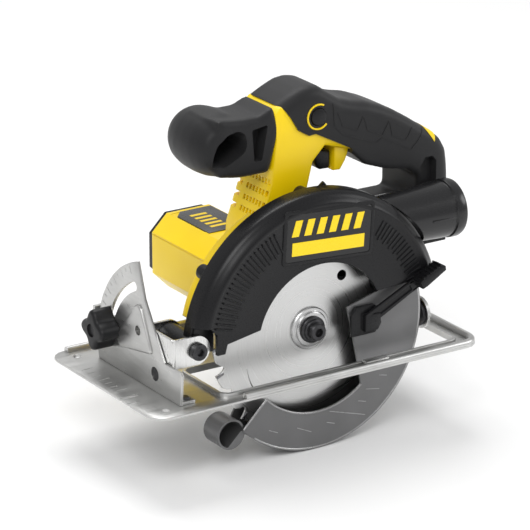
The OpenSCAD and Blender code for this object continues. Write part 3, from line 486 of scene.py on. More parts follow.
# ---- Front bracket ----
# A bright steel channel: a web behind the quadrant, with an ear bent back on each side that
# holds the depth pivot. The bends are soft and the ears end round.
bracket_low, bracket_high = corners("front_bracket")
bolt_low, bolt_high = corners("depth_pivot_bolt")
depth = (bolt_low + bolt_high) / 2
knob_low, knob_high = corners("bevel_knob")
knob = (knob_low + knob_high) / 2
ear_r = 11
ear_tail = bracket_high.x
bracket_t = 2.5
web_back = bracket_low.x + bracket_t
bright = drawn_steel("bright_steel", (0.72, 0.72, 0.71), 0.24, (1, 1, 0.08))
near_out = bracket_low.y
far_out = near_out + 40.5
bm = bmesh.new()
# channel seen from above, then cut to the ears' round ends
turn_r = 4
channel = ([(ear_tail, near_out)] + ring_points(turn_r, 270, 180, 6, (bracket_low.x + turn_r, near_out + turn_r))
           + ring_points(turn_r, 180, 90, 6, (bracket_low.x + turn_r, far_out - turn_r)) + [(ear_tail, far_out)]
           + [(ear_tail, far_out - bracket_t)]
           + ring_points(turn_r - bracket_t, 90, 180, 4, (bracket_low.x + turn_r, far_out - turn_r))
           + ring_points(turn_r - bracket_t, 180, 270, 4, (bracket_low.x + turn_r, near_out + turn_r))
           + [(ear_tail, near_out + bracket_t)])
slab(bm, channel, depth.z - ear_r, depth.z + ear_r, 0.3, 2, along="Z")
bracket = object_from(bm, "front_bracket_channel")
bm = bmesh.new()
slab(bm, [(bracket_low.x - 1, depth.z - ear_r - 1), (bracket_low.x - 1, depth.z + ear_r + 1)]
     + [(depth.x - 3, depth.z + ear_r + 1)] + ring_points(ear_r, 90, -90, 20, (depth.x, depth.z))
     + [(depth.x - 3, depth.z - ear_r - 1)], near_out - 2, far_out + 2)
carve(bracket, object_from(bm, "ear_ends"), "INTERSECT")
bm = bmesh.new()
slab(bm, [(near_out + 1, depth.z + ear_r), (near_out + 1, depth.z - ear_r), (-3, hub[1] - 4), (hub[0] - 8, hub[1] - 9),
          (hub[0] + 8, hub[1] - 9), (knob.y + 7, knob.z - 8), (knob.y + 7, knob.z + 6), (far_out - 1, depth.z + ear_r)],
     bracket_low.x, web_back, 0.5, 2, 2, "X")
carve(bracket, object_from(bm, "web"), "UNION")
fit(bracket, "bevel_frame", bright, "front_bracket")
bm = bmesh.new()
lathe(bm, [(3.2, -0.6), (5.6, 0), (6.3, 1.0), (6.3, 4.2), (0.01, 4.2), (0.01, 2), (3.2, 2)],
      (depth.x, bolt_low.y + 0.2, depth.z), "Y", 48)
screw_head = object_from(bm, "depth_pivot_screw_head")
fit(screw_head, "housing", black_steel)


# ---- Bevel knob ----
# A four-lobed moulded knob on the bevel bolt, with a nut pressed in from behind.
def moulded(name, colour, rough, grain=2600, depth=0.00003, soft_edge=0.0006, sheen=0.0, gloss=0.25):
    """Spark-textured plastic: a fine even grain with faint shade differences."""
    made, tree, shader = node_material(name)
    fine = noise(tree, grain, 2)
    broad = noise(tree, 18)
    tree.links.new(shades(tree, broad, tone(colour, 0.93), tone(colour, 1.06)), shader.inputs["Base Color"])
    tree.links.new(ramp(tree, fine, rough - 0.05, rough + 0.05), shader.inputs["Roughness"])
    shader.inputs["Sheen Weight"].default_value = sheen
    shader.inputs["Specular IOR Level"].default_value = gloss
    bump(tree, shader, fine, depth, 0.5, soft_edge)
    return made


black_moulding = moulded("black_moulding", (0.011, 0.011, 0.012), 0.40)
bm = bmesh.new()
lobed = [((13 + 2.4 * math.cos(4 * math.radians(a))) * math.cos(math.radians(a)) + knob.y,
          (13 + 2.4 * math.cos(4 * math.radians(a))) * math.sin(math.radians(a)) + knob.z)
         for a in range(0, 360, 6)]
slab(bm, lobed, knob_low.x, knob_high.x, 3, 5, along="X",
     kept=lambda e: all(v.co.x < knob.x for v in e.verts))
knob_piece = object_from(bm, "bevel_knob_moulding")
bm = bmesh.new()
lathe(bm, [(5, -3), (5, 1.5), (0.01, 1.5), (0.01, -3)], (knob_low.x, knob.y, knob.z), "X", 40)
carve(knob_piece, object_from(bm, "knob_dimple"))
fit(knob_piece, "bevel_knob", black_moulding, "bevel_knob")


# ---- Upper guard ----
# A glass-filled nylon moulding over the blade: a flat face with a raised label frame and two
# fans of grip ribs, and a rounded shoulder that rolls back to its rim.
guard_low, guard_high = corners("upper_guard")
guard_face = -17
guard_r = 106.4
face_r = 96.5
window_r = 54


def polar(radius, angle):
    """A point at that radius and angle round the arbor, as (X, Z)."""
    return (arbor.x + radius * math.cos(math.radians(angle)), arbor.z + radius * math.sin(math.radians(angle)))


guard_black = moulded("guard_black", (0.009, 0.009, 0.010), 0.30, 1800, 0.00002, 0.0009)
bm = bmesh.new()
lathe(bm, [(window_r, guard_face), (window_r, guard_face + 3), (face_r + 2, guard_face + 3),
           (face_r + 6.5, guard_face + 6), (face_r + 7.4, guard_face + 9), (face_r + 7.4, 2),
           (guard_r, 2), (guard_r, guard_face + 7.5), (guard_r - 0.8, guard_face + 5), (guard_r - 3, guard_face + 3),
           (face_r + 5, guard_face + 1.7), (face_r + 3.2, guard_face - 0.4), (face_r + 1.6, guard_face - 0.9),
           (face_r, guard_face - 0.5), (face_r - 1.2, guard_face)],
      (arbor.x, 0, arbor.z), "Y", 160)
guard = object_from(bm, "upper_guard_shell")
bm = bmesh.new()
lift = arbor.z
slab(bm, [(-2 * guard_r, lift + 2), (-82, lift + 2), (-80, lift + 9), (-window_r + 2, lift + 14),
          (window_r - 4, lift + 24), (2 * guard_r, lift + 30), (2 * guard_r, 2 * guard_r + 60),
          (-2 * guard_r, 2 * guard_r + 60)], -40, 20)
carve(guard, object_from(bm, "guard_trim"), "INTERSECT")
recess = depth.x + 13
step_top = depth.z + ear_r + 6
bm = bmesh.new()
slab(bm, [(-2 * guard_r, 0), (recess, 0), (recess, step_top - 6), (recess - 6, step_top), (-2 * guard_r, step_top)],
     -40, -7.2)
carve(guard, object_from(bm, "bracket_step"))
# the wall behind the bracket's ear, and the pivot lug
bm = bmesh.new()
slab(bm, [(x, z) for x, z in ring_points(guard_r - 0.2, 156, 179, 10, (arbor.x, arbor.z))]
     + [(recess + 3, arbor.z + 2), (recess + 3, step_top + 3), (-98, step_top + 3)], -7.2, -4.4, 0.4, 1)
lathe(bm, [(9.5, -7.2), (9.5, 13), (0.01, 13), (0.01, -7.2)], (depth.x, 0, depth.z), "Y", 40)
fit(object_from(bm, "guard_lug_wall"), "housing", guard_black)
# two fans of fine ribs; the raised frame comes after
bm = bmesh.new()
for start, end, inner, outer in ((116, 166, 76, 93), (20, 55, 79, 93)):
    count = int((end - start) / 2.3)
    for i in range(count + 1):
        angle = start + (end - start) * i / count
        (x0, z0), (x1, z1) = polar(inner + 2 * (i % 2), angle), polar(outer, angle)
        off = Vector((-(z1 - z0), x1 - x0)).normalized() * 0.62
        slab(bm, [(x0 - off.x, z0 - off.y), (x1 - off.x, z1 - off.y), (x1 + off.x, z1 + off.y),
                  (x0 + off.x, z0 + off.y)], guard_face - 1.0, guard_face + 0.4, 0.3, 1)
ribs = object_from(bm, "guard_ribs")
fit(ribs, "housing", guard_black)
fit(guard, "housing", guard_black, "upper_guard", sharp=40)

label_at = Vector((arbor.x + 5.5, 0, arbor.z + 75.5))
slant = Matrix.Rotation(math.radians(3.5), 3, "Y")


def on_label(points):
    """Label points, measured from its middle and turned with it."""
    return [((slant @ Vector((x, 0, z))).x + label_at.x, (slant @ Vector((x, 0, z))).z + label_at.z)
            for x, z in points]


def rectangle(x0, z0, x1, z1, lean=0.0):
    """A rectangle's corners; lean slants it to the right."""
    return [(x0, z0), (x1, z0), (x1 + lean, z1), (x0 + lean, z1)]


bm = bmesh.new()
slab(bm, on_label(rectangle(-39, -20, 39, 21)), guard_face - 0.75, guard_face + 0.5, 0.6, 3, 3)
frame_piece = object_from(bm, "label_frame")
bm = bmesh.new()
slab(bm, on_label(rectangle(-36.3, -17.5, 36.3, 18.3)), guard_face - 3, guard_face - 0.2, 0, 2, 2)
carve(frame_piece, object_from(bm, "frame_cut"))
fit(frame_piece, "housing", guard_black)


# ---- Label ----
# A printed plate in the frame: gloss black, with a plain yellow bar and slanted flashes in
# place of any name.
def printed(name, colour):
    made, tree, shader = node_material(name)
    speckle = noise(tree, 900, 2)
    tree.links.new(shades(tree, speckle, tone(colour, 0.95), tone(colour, 1.03)), shader.inputs["Base Color"])
    tree.links.new(ramp(tree, speckle, 0.26, 0.36), shader.inputs["Roughness"])
    bump(tree, shader, speckle, 0.000008, 0.3)
    return made


label_black = printed("label_black", (0.006, 0.006, 0.0065))
label_yellow = printed("label_yellow", (1.0, 0.70, 0.0))
bm = bmesh.new()
slab(bm, on_label(rectangle(-36, -17.2, 36, 18)), guard_face - 0.4, guard_face + 0.2, 0, 2, 2)
fit(object_from(bm, "label_ground"), "housing", label_black, "label_plate")
bm = bmesh.new()
slab(bm, on_label(rectangle(-31, -13, 31, -3)), guard_face - 0.65, guard_face - 0.3, 0.1, 1)
for i in range(6):
    slab(bm, on_label(rectangle(-32 + 10.6 * i, 1.5, -26 + 10.6 * i, 13.5, 3)), guard_face - 0.65, guard_face - 0.3,
         0.1, 1)
fit(object_from(bm, "label_marks"), "housing", label_yellow)


# ---- Guard back and dust port ----
# The guard's far half, and the port that carries sawdust out: it widens from the guard to a
# round mouth with a lip, in the same moulding.
dress(guard_black, "guard_back")
port_low, port_high = corners("dust_port")
port_y = (port_low.y + port_high.y) / 2
port_z = (port_low.z + port_high.z) / 2
bore_r = 18.5
bm = bmesh.new()
lathe(bm, [(bore_r, 40), (19.3, 40), (19.5, 70), (20.3, 95), (21, 112), (21.1, 116.6), (20.5, 117.1), (20.6, 117.7),
           (21.8, 118.6), (22, 120.5), (22, 124.5), (21.3, 126.3), (20.2, 127), (bore_r, 126.4), (bore_r, 120)],
      (0, port_y, port_z), "X", 96)
port = object_from(bm, "dust_port_tube")
bm = bmesh.new()
lathe(bm, [(guard_r + 0.3, -60), (guard_r + 0.3, 2.15), (96.4, 2.15), (96.4, 80), (0.01, 80), (0.01, -60)],
      (arbor.x, 0, arbor.z), "Y", 160)
carve(port, object_from(bm, "guard_clearance"))
port_gloss = moulded("port_gloss", (0.010, 0.010, 0.011), 0.24, 2600, 0.000004, 0.0006, gloss=0.45)
fit(port, "housing", port_gloss, "dust_port")
bm = bmesh.new()
for side in (-1, 1):
    block(bm, (96, port_y + side * 20.6 - 0.5, port_z - 1.2), (117, port_y + side * 20.6 + 0.5, port_z + 0.2), 0.3)
fit(object_from(bm, "port_parting_lips"), "housing", port_gloss)


# ---- Saw blade ----
# A ground steel disc with brazed carbide tips and laser-cut slots that let it expand. The
# grinding leaves fine circles, so its highlights fan out from the arbor.
def ground_steel(name, colour, rough, centre, rings=900):
    """Steel with fine circles round a centre, in millimetres, about the Y axis."""
    made, tree, shader = node_material(name)
    shader.inputs["Metallic"].default_value = 1
    shader.inputs["Anisotropic"].default_value = 0.6
    place = tree.nodes.new("ShaderNodeTexCoord")
    shift = tree.nodes.new("ShaderNodeMapping")
    shift.inputs["Location"].default_value = (-centre[0] * MM, 0, -centre[2] * MM)
    flat = tree.nodes.new("ShaderNodeVectorMath")
    flat.operation = "MULTIPLY"
    flat.inputs[1].default_value = (1, 0, 1)
    reach = tree.nodes.new("ShaderNodeVectorMath")
    reach.operation = "LENGTH"
    grain = tree.nodes.new("ShaderNodeTexNoise")
    grain.noise_dimensions = "1D"
    grain.inputs["Scale"].default_value = rings
    grain.inputs["Detail"].default_value = 4
    tree.links.new(place.outputs["Object"], shift.inputs["Vector"])
    tree.links.new(shift.outputs["Vector"], flat.inputs[0])
    tree.links.new(flat.outputs["Vector"], reach.inputs[0])
    tree.links.new(reach.outputs["Value"], grain.inputs["W"])
    radial = tree.nodes.new("ShaderNodeTangent")
    radial.axis = "Y"
    tree.links.new(radial.outputs["Tangent"], shader.inputs["Tangent"])
    tree.links.new(shades(tree, grain.outputs["Fac"], tone(colour, 0.97), tone(colour, 1.03)),
                   shader.inputs["Base Color"])
    tree.links.new(ramp(tree, grain.outputs["Fac"], rough - 0.03, rough + 0.05), shader.inputs["Roughness"])
    bump(tree, shader, grain.outputs["Fac"], 0.000005, 0.3)
    return made


blade_steel = ground_steel("blade_steel", (0.62, 0.62, 0.615), 0.3, arbor)
blade_r = (blade_high.z - blade_low.z) / 2
half_t = 0.8
teeth = 24
pitch = 360 / teeth
root = blade_r - 8
bm = bmesh.new()
tooth = [(0, blade_r), (0.30, blade_r - 1.0), (0.52, root + 6), (0.66, root + 3.2), (0.74, root + 0.6), (0.83, root),
         (0.91, root + 1.4), (0.96, root + 4)]
slab(bm, [polar(radius, pitch * (i + part)) for i in range(teeth) for part, radius in tooth], -half_t, half_t, 0.12, 1)
blade = object_from(bm, "blade_disc")
bm = bmesh.new()
lathe(bm, [(10.05, -3), (10.05, 3), (0.01, 3), (0.01, -3)], (arbor.x, 0, arbor.z), "Y", 64)
lathe(bm, [(4, -3), (4, 3), (0.01, 3), (0.01, -3)], (arbor.x + 28, 0, arbor.z + 35), "Y", 40)
for quarter in range(4):
    start = 90 * quarter + 21
    outer = [polar(58 + 0.45 * t, start + 2.4 * t) for t in range(9)]
    inner = [polar(57.2 + 0.45 * t, start + 2.4 * t) for t in range(8, -1, -1)]
    slab(bm, outer + inner, -3, 3)
carve(blade, object_from(bm, "blade_cuts"))
fit(blade, "blade_spindle", blade_steel, "saw_blade", sharp=25)
bm = bmesh.new()
for i in range(teeth):
    face = pitch * i
    slab(bm, [polar(blade_r, face), polar(blade_r - 0.4, face + 1.5), polar(blade_r - 6.5, face + 0.9),
              polar(blade_r - 6.5, face - 0.1)], -1.2, 1.2, 0.15, 1)
carbide = blackened_steel("carbide", (0.22, 0.22, 0.23), 0.3)
fit(object_from(bm, "carbide_tips"), "blade_spindle", carbide)


# ---- Arbor hardware ----
# Two turned flanges clamp the blade; a blackened bolt with a washer and a hex socket holds
# them. A raised ring is pressed into the outer flange.
flange_steel = ground_steel("flange_steel", (0.52, 0.52, 0.52), 0.26, arbor, 1500)
bolt_low, bolt_high = corners("blade_bolt")
seat = -half_t
bm = bmesh.new()
lathe(bm, [(4.1, seat), (16, seat), (16, seat - 1.4), (15.4, seat - 2), (13.6, seat - 2.1), (13, seat - 2.6),
           (12.9, seat - 3.7), (12.5, seat - 4), (4.1, seat - 4)], (arbor.x, 0, arbor.z), "Y", 96)
fit(object_from(bm, "outer_flange_disc"), "blade_spindle", flange_steel, "outer_flange")
bm = bmesh.new()
face = seat - 4
lathe(bm, [(3.9, 15), (3.9, face), (9.7, face), (10, face - 0.4), (10, face - 1.5), (9.6, face - 1.9),
           (8.4, face - 2.1), (8.2, face - 3.4), (7.6, face - 3.9), (6.5, face - 4), (6.5, face - 8),
           (5.8, face - 8.9), (3.3, face - 9), (3.3, face - 5.4), (0.01, face - 5.4), (0.01, 15)],
      (arbor.x, 0, arbor.z), "Y", 72)
bolt = object_from(bm, "blade_bolt_turned")
bm = bmesh.new()
slab(bm, [polar(3.45, 60 * i) for i in range(6)], face - 10, face - 5)
carve(bolt, object_from(bm, "hex_socket"))
fit(bolt, "blade_spindle", black_steel, "blade_bolt")


# ---- Lower guard ----
# A stamped steel cover, painted grey and satin, that turns about the gear case's nose. It
# has a rolled rim, depth marks stamped on its face and a flared nose.
def enamelled(name, colour, rough):
    made, tree, shader = node_material(name)
    shader.inputs["Metallic"].default_value = 0.55
    flake = noise(tree, 2200, 2)
    broad = noise(tree, 22)
    tree.links.new(shades(tree, broad, tone(colour, 0.86), tone(colour, 1.12)), shader.inputs["Base Color"])
    tree.links.new(ramp(tree, flake, rough - 0.06, rough + 0.06), shader.inputs["Roughness"])
    bump(tree, shader, flake, 0.00002, 0.4, 0.0005)
    return made


guard_grey = enamelled("guard_grey", (0.17, 0.17, 0.172), 0.42)
rim_bright = drawn_steel("rim_bright", (0.40, 0.40, 0.40), 0.3, (1, 1, 1))
lower_low, lower_high = corners("lower_guard")
lower_r = 90
face_near = lower_low.y
dress(guard_grey, "lower_guard")


def arc_wire(name, radius, start, end, place, thick, steps=48):
    """A round bead along an arc about the arbor, at that place along Y."""
    route = [(x, place, z) for x, z in ring_points(radius, start, end, steps, (arbor.x, arbor.z))]
    return wire(name, route, thick)


fit(arc_wire("lower_guard_rim_near", lower_r - 1, -128, 20, face_near + 0.65, 0.95), "lower_guard", rim_bright)
fit(arc_wire("lower_guard_rim_far", lower_r - 0.8, -136, 20, lower_high.y - 0.65, 0.7), "lower_guard", rim_bright)
fit(arc_wire("lower_guard_inner_bead", 61.5, -136, -52, face_near + 0.3, 0.85), "lower_guard", rim_bright)
bm = bmesh.new()
front_edge = [(polar(r, -136)[0], face_near + 0.4, polar(r, -136)[1]) for r in (61.5, 89)]
fit(wire("lower_guard_front_bead", front_edge, 0.8), "lower_guard", rim_bright)
depth_marks = [(-42.3, -38.4, -34.9, -41.8), (-18.1, -41.9, -5.7, -47.6), (7.7, -43.2, 14.7, -45.6),
               (10.2, -35.1, 41.6, -44.6), (35.3, -32.4, 42.4, -34.4), (42.0, -24.5, 54.1, -26.8),
               (54.1, -16.1, 60.7, -17.6)]
for x0, z0, x1, z1 in depth_marks:
    off = Vector((z0 - z1, x1 - x0)).normalized() * 0.3
    slab(bm, [(x0 - off.x, z0 - off.y), (x1 - off.x, z1 - off.y), (x1 + off.x, z1 + off.y),
              (x0 + off.x, z0 + off.y)], face_near - 0.25, face_near + 0.3, 0.12, 1)
fit(object_from(bm, "stamped_depth_marks"), "lower_guard", rim_bright)


# ---- Guard lever ----
# A black moulded lever that lifts the lower guard by hand: a faceted pad screwed to the
# guard, two thin rails and a thumb piece with cross ribs.
lever_black = moulded("lever_black", (0.009, 0.009, 0.010), 0.3, 1600, 0.00001, 0.0004)
pad_x = arbor.x + 40
rail_y = -20.8
lean = Matrix.Rotation(math.radians(-26), 3, "Y")
rail_from = Vector((pad_x, 0, arbor.z + 4))


def leaned(points):
    """Points along the lever, turned up by its slope, as (X, Z)."""
    return [((lean @ Vector((x, 0, z))).x + rail_from.x, (lean @ Vector((x, 0, z))).z + rail_from.z)
            for x, z in points]


bm = bmesh.new()
slab(bm, [(pad_x - 13, arbor.z - 9), (pad_x + 8, arbor.z - 9), (pad_x + 11, arbor.z - 4), (pad_x + 11, arbor.z + 10),
          (pad_x + 6, arbor.z + 14), (pad_x - 9, arbor.z + 14), (pad_x - 14, arbor.z + 8)], -16.4, -12.4, 1.6, 2)
slab(bm, [(pad_x - 4, arbor.z - 5), (pad_x + 7, arbor.z - 5), (pad_x + 10, arbor.z), (pad_x + 9, arbor.z + 8),
          (pad_x - 4, arbor.z + 8)], rail_y - 0.2, -14, 1.2, 2)
for low, high in ((-4.5, -1.6), (2.6, 5.5)):
    slab(bm, leaned([(-2, low), (50, low + (0.8 if low < 0 else 0)), (50, high - (0 if low < 0 else 0.8)), (-2, high)]),
         rail_y, rail_y + 2.6, 0.6, 2)
slab(bm, leaned([(40, -4), (50, -4), (50, 5), (40, 5)]), rail_y, rail_y + 2.6, 0.6, 2)
slab(bm, leaned([(2, -2), (46, -2), (46, 3), (2, 3)]), rail_y + 1.3, rail_y + 2.2, 0.2, 1)
slab(bm, leaned([(44, -0.6), (48, -1.0), (67, 0.4), (68, 3.4), (66, 6), (48, 6.2), (44, 5)]), -31, -19, 1.0, 2)
for rib in range(6):
    at = 47.5 + 3.3 * rib
    slab(bm, leaned([(at, 5.2), (at + 1.5, 5.2), (at + 1.2, 7.0), (at + 0.3, 7.0)]), -30.6, -19.4, 0.3, 1)
lever = object_from(bm, "guard_lever_moulding")
fit(lever, "lower_guard", lever_black, "guard_lever", sharp=28)


# ---- Motor housing ----
# Yellow ABS in one eight-sided barrel behind the guard, with a skirt that follows the
# guard's edge, cooling slots over the fan and a dark printed panel on top.
yellow = moulded("yellow_moulding", (1.0, 0.68, 0.0), 0.34, 2200, 0.00002, 0.0012, gloss=0.5)
shell_low, shell_high = corners("motor_housing")
cap_low, cap_high = corners("motor_end_cap")
shaft_low, shaft_high = corners("motor_shaft")
motor = (shaft_low + shaft_high) / 2
barrel_w, barrel_h = 63, 58
barrel_from = 38.3
cap_from = shell_high.y


def eight_sided(w, h, c):
    """An octagon round the motor's axis, as (X, Z)."""
    return [(motor.x + x, motor.z + z) for x, z in (
        (-w / 2 + c, -h / 2), (w / 2 - c, -h / 2), (w / 2, -h / 2 + c), (w / 2, h / 2 - c),
        (w / 2 - c, h / 2), (-w / 2 + c, h / 2), (-w / 2, h / 2 - c), (-w / 2, -h / 2 + c))]


bm = bmesh.new()
slab(bm, eight_sided(barrel_w, barrel_h, 13), barrel_from, cap_from, 1.6, 3)
housing = object_from(bm, "motor_housing_barrel")
bm = bmesh.new()
slab(bm, ring_points(94.5, 112, 173, 36, (arbor.x, arbor.z)) + ring_points(49, 173, 112, 24, (arbor.x, arbor.z)),
     13.4, 25.5, 1.8, 3)
skirt = object_from(bm, "motor_housing_skirt")
bm = bmesh.new()
block(bm, (-200, 0, -20), (depth.x + 22, 60, depth.z + ear_r + 3))
carve(skirt, object_from(bm, "skirt_trim"))
bm = bmesh.new()
slab(bm, ring_points(59, 114, 158, 24, (arbor.x, arbor.z)) + ring_points(50, 158, 114, 24, (arbor.x, arbor.z)),
     20, 39.5, 0.5, 1)
carve(skirt, object_from(bm, "skirt_web"), "UNION")
fit(skirt, "housing", yellow)
bm = bmesh.new()
lathe(bm, [(23.6, barrel_from + 3), (23.6, cap_from + 2), (0.01, cap_from + 2), (0.01, barrel_from - 2),
           (11, barrel_from - 2), (11, barrel_from + 3)], (motor.x, 0, motor.z), "Y", 72)
for i in range(7):
    x = motor.x - 26 + 7.5 * i
    block(bm, (x, barrel_from + 5, motor.z + 20), (x + 3, barrel_from + 14, motor.z + 40), 0.9)
# shallow line along the flank where the two mould halves meet
block(bm, (motor.x - barrel_w, barrel_from + 2, motor.z + 14.6), (motor.x - barrel_w / 2 + 0.35, cap_from - 3, motor.z + 15.2))
# seat of the printed panel
block(bm, (motor.x - 17.6, motor.y + 10, motor.z + barrel_h / 2 - 0.4), (motor.x + 17.6, cap_from - 5, motor.z + 40), 0.3)
carve(housing, object_from(bm, "barrel_cuts"))
fit(housing, "housing", yellow, "motor_housing")
panel_low, panel_high = corners("motor_label")
bm = bmesh.new()
slab(bm, [(panel_low.x, panel_low.y), (panel_high.x - 7, panel_low.y), (panel_high.x, panel_low.y + 8),
          (panel_high.x, panel_high.y), (panel_low.x + 7, panel_high.y), (panel_low.x, panel_high.y - 8)],
     panel_low.z - 0.5, panel_high.z, 0.3, 2, along="Z")
panel_grey = printed("panel_grey", (0.055, 0.055, 0.057))
fit(object_from(bm, "motor_panel"), "housing", panel_grey, "motor_label")
bm = bmesh.new()
for i in range(5):
    y = panel_low.y + 9 + 7 * i
    slab(bm, [(panel_low.x + 8, y), (panel_low.x + 22, y), (panel_low.x + 22, y + 3.4), (panel_low.x + 8, y + 3.4)],
         panel_high.z - 0.2, panel_high.z + 0.12, 0.05, 1, along="Z")
fit(object_from(bm, "motor_panel_marks"), "housing", label_yellow)
# End cap: black, held by the barrel's rim, with slots that let the cooling air out
bm = bmesh.new()
slab(bm, eight_sided(barrel_w - 3, barrel_h - 3, 14), cap_from, cap_high.y, 3.2, 4, kept=lambda e: e.verts[0].co.y > cap_from + 1 and e.verts[1].co.y > cap_from + 1)
block(bm, (cap_low.x, cap_from + 1, motor.z - 13), (cap_low.x + 14, cap_from + 7.6, motor.z + 13), 1.6)
cap = object_from(bm, "motor_end_cap_moulding")
bm = bmesh.new()
for i in range(-3, 4):
    block(bm, (motor.x + 7 * i - 1.5, cap_from + 4, motor.z - 17), (motor.x + 7 * i + 1.5, cap_high.y + 3, motor.z + 17), 0.8)
carve(cap, object_from(bm, "cap_slots"))
fit(cap, "housing", black_moulding, "motor_end_cap")


# ---- Main handle ----
# Two yellow ABS halves make the neck, and a black soft cover is moulded over its top, along
# the grip and down to the battery foot. The neck has slots that let warm air out.
grip_low, grip_high = corners("handle_grip")
near_low, near_high = corners("handle_near")
far_low, far_high = corners("handle_far")
top = grip_high.z
side_near, side_far = near_low.y, far_high.y
middle = (side_near + side_far) / 2


def remould(piece, cell, rounds):
    """Melts a rough shape into one soft moulding: cells of that size, then rounds of smoothing."""
    melt = piece.modifiers.new("melt", "REMESH")
    melt.mode = "VOXEL"
    melt.voxel_size = cell * MM
    ease = piece.modifiers.new("ease", "SMOOTH")
    ease.factor = 0.5
    ease.iterations = rounds
    settle(piece)


def prism(outline, start, end, along="Y", corner=0.0):
    """A plain cutter with that outline."""
    bm = bmesh.new()
    slab(bm, outline, start, end, 0, 1, corner, along)
    return object_from(bm, "cutter")


handle_line = [(-30, 66), (-28, 96), (-15, top - 68), (-11, top - 35), (-12.5, top - 15), (-9, top - 10.5), (2, top - 5),
               (12, top - 1), (20, top), (28, top - 1.5), (36, top - 7), (47, top - 14), (58, top - 17.5), (70, top - 20),
               (83, top - 25), (95, top - 31), (108, top - 39), (119, top - 46.5), (129, top - 53), (136, top - 59),
               (141, top - 68), (142.5, top - 80), (143, 112), (143, 72), (100, 72), (96, 66), (22, 66)]
hand_hole = [(11, 99), (22, top - 57), (32, top - 47), (44, top - 49), (54, top - 55.5), (66, top - 66.5),
             (84, top - 73), (104, top - 77), (112, top - 83), (112, 98)]
cover_line = [(-40, top - 9), (-12, top - 9.5), (-6, top - 11), (1, top - 20), (7, top - 30), (16, top - 35.5),
              (22, top - 35), (54, top - 52), (60, 100), (20, 99), (14, 60), (260, 60), (260, 300), (-40, 300)]

bm = bmesh.new()
slab(bm, handle_line, side_near - 1.6, side_far + 1.6, 9, 4)
grip = object_from(bm, "handle_cover")
carve(grip, prism(hand_hole, 0, 100))
remould(grip, 1.5, 9)
whole_copy = grip.copy()
whole_copy.data = grip.data.copy()
bpy.context.scene.collection.objects.link(whole_copy)
carve(grip, prism(cover_line, 0, 100), "INTERSECT")
lock_low, lock_high = corners("lock_off")
lock = (lock_low + lock_high) / 2
bm = bmesh.new()
lathe(bm, [(6.8, 0), (6.8, 100), (0.01, 100), (0.01, 0)], (lock.x, 0, lock.z), "Y", 48)
# the battery's seat: a recess in each side of the foot
for start, end in ((side_near - 3, side_near + 5), (side_far - 5, side_far + 3)):
    slab(bm, [(115, 108), (129, 108), (129, 126), (126, 130), (119, 130), (115, 124)], start, end)
carve(grip, object_from(bm, "grip_cuts"))
rubber = moulded("soft_cover", (0.013, 0.013, 0.014), 0.5, 1500, 0.00004, 0.0, 0.08)
fit(grip, "housing", rubber, "handle_grip", sharp=38)

# Raised outlines of the grip's panels, a strip width above its surface
swell = whole_copy.modifiers.new("swell", "DISPLACE")
swell.strength = 0.32 * MM
swell.mid_level = 0
settle(whole_copy)


def strip(points, width=0.7):
    """A thin band along a line of points, as one outline."""
    left, right = [], []
    for i, (x, z) in enumerate(points):
        before = Vector(points[max(i - 1, 0)])
        after = Vector(points[min(i + 1, len(points) - 1)])
        way = (after - before).normalized() * width / 2
        left.append((x - way.y, z + way.x))
        right.append((x + way.y, z - way.x))
    return left + right[::-1]


bm = bmesh.new()
panels = [[(41, 177.5), (45, 167), (58, 161.5), (63, 171)], [(64, 170), (67, 160), (80, 154), (86, 163.5)],
          [(87, 162), (89, 152), (101, 146.5), (107, 155)]]
for line in panels + [[(37, 185), (38, 168), (46, 160), (74, 149), (80, 152), (106, 138.5), (114, 146), (118, 152)]]:
    slab(bm, strip(line), 10, 47)
    slab(bm, strip(line), 49, 86)
panel_lines = object_from(bm, "grip_panel_lines")
outline_skin = whole_copy.copy()
outline_skin.data = whole_copy.data.copy()
bpy.context.scene.collection.objects.link(outline_skin)
carve(panel_lines, outline_skin, "INTERSECT")
fit(panel_lines, "housing", rubber)
bm = bmesh.new()
for start, end in ((10, 47), (49, 86)):
    slab(bm, [(118, 156), (131, 150), (131, 146), (127.5, 140.5)], start, end)
flash = object_from(bm, "grip_flash")
carve(flash, whole_copy, "INTERSECT")
fit(flash, "housing", yellow)

bm = bmesh.new()
slab(bm, [(-30, 70)] + handle_line[1:5] + [(-8, top - 11), (2, top - 7), (14, top - 4), (30, top - 6), (52, top - 22), (56, top - 54)]
     + [(32, 153), (22, 143), (11, 99), (4, 70)],
     side_near, side_far, 4.2, 2)
neck = object_from(bm, "handle_neck")
bm = bmesh.new()
slab(bm, [(42.4, 156), (42.4, 131.5), (48, 131.2), (52.6, 138), (57.5, 151), (46, 157)], 31, 65, 1.6, 2)
carve(neck, object_from(bm, "trigger_shroud"), "UNION")
carve(neck, prism(cover_line, 0, 100))
trigger_low, trigger_high = corners("trigger")
bm = bmesh.new()
block(bm, (trigger_low.x - 1, trigger_low.y - 0.6, trigger_low.z - 9), (trigger_high.x + 0.6, trigger_high.y + 0.6, trigger_high.z + 6.5))
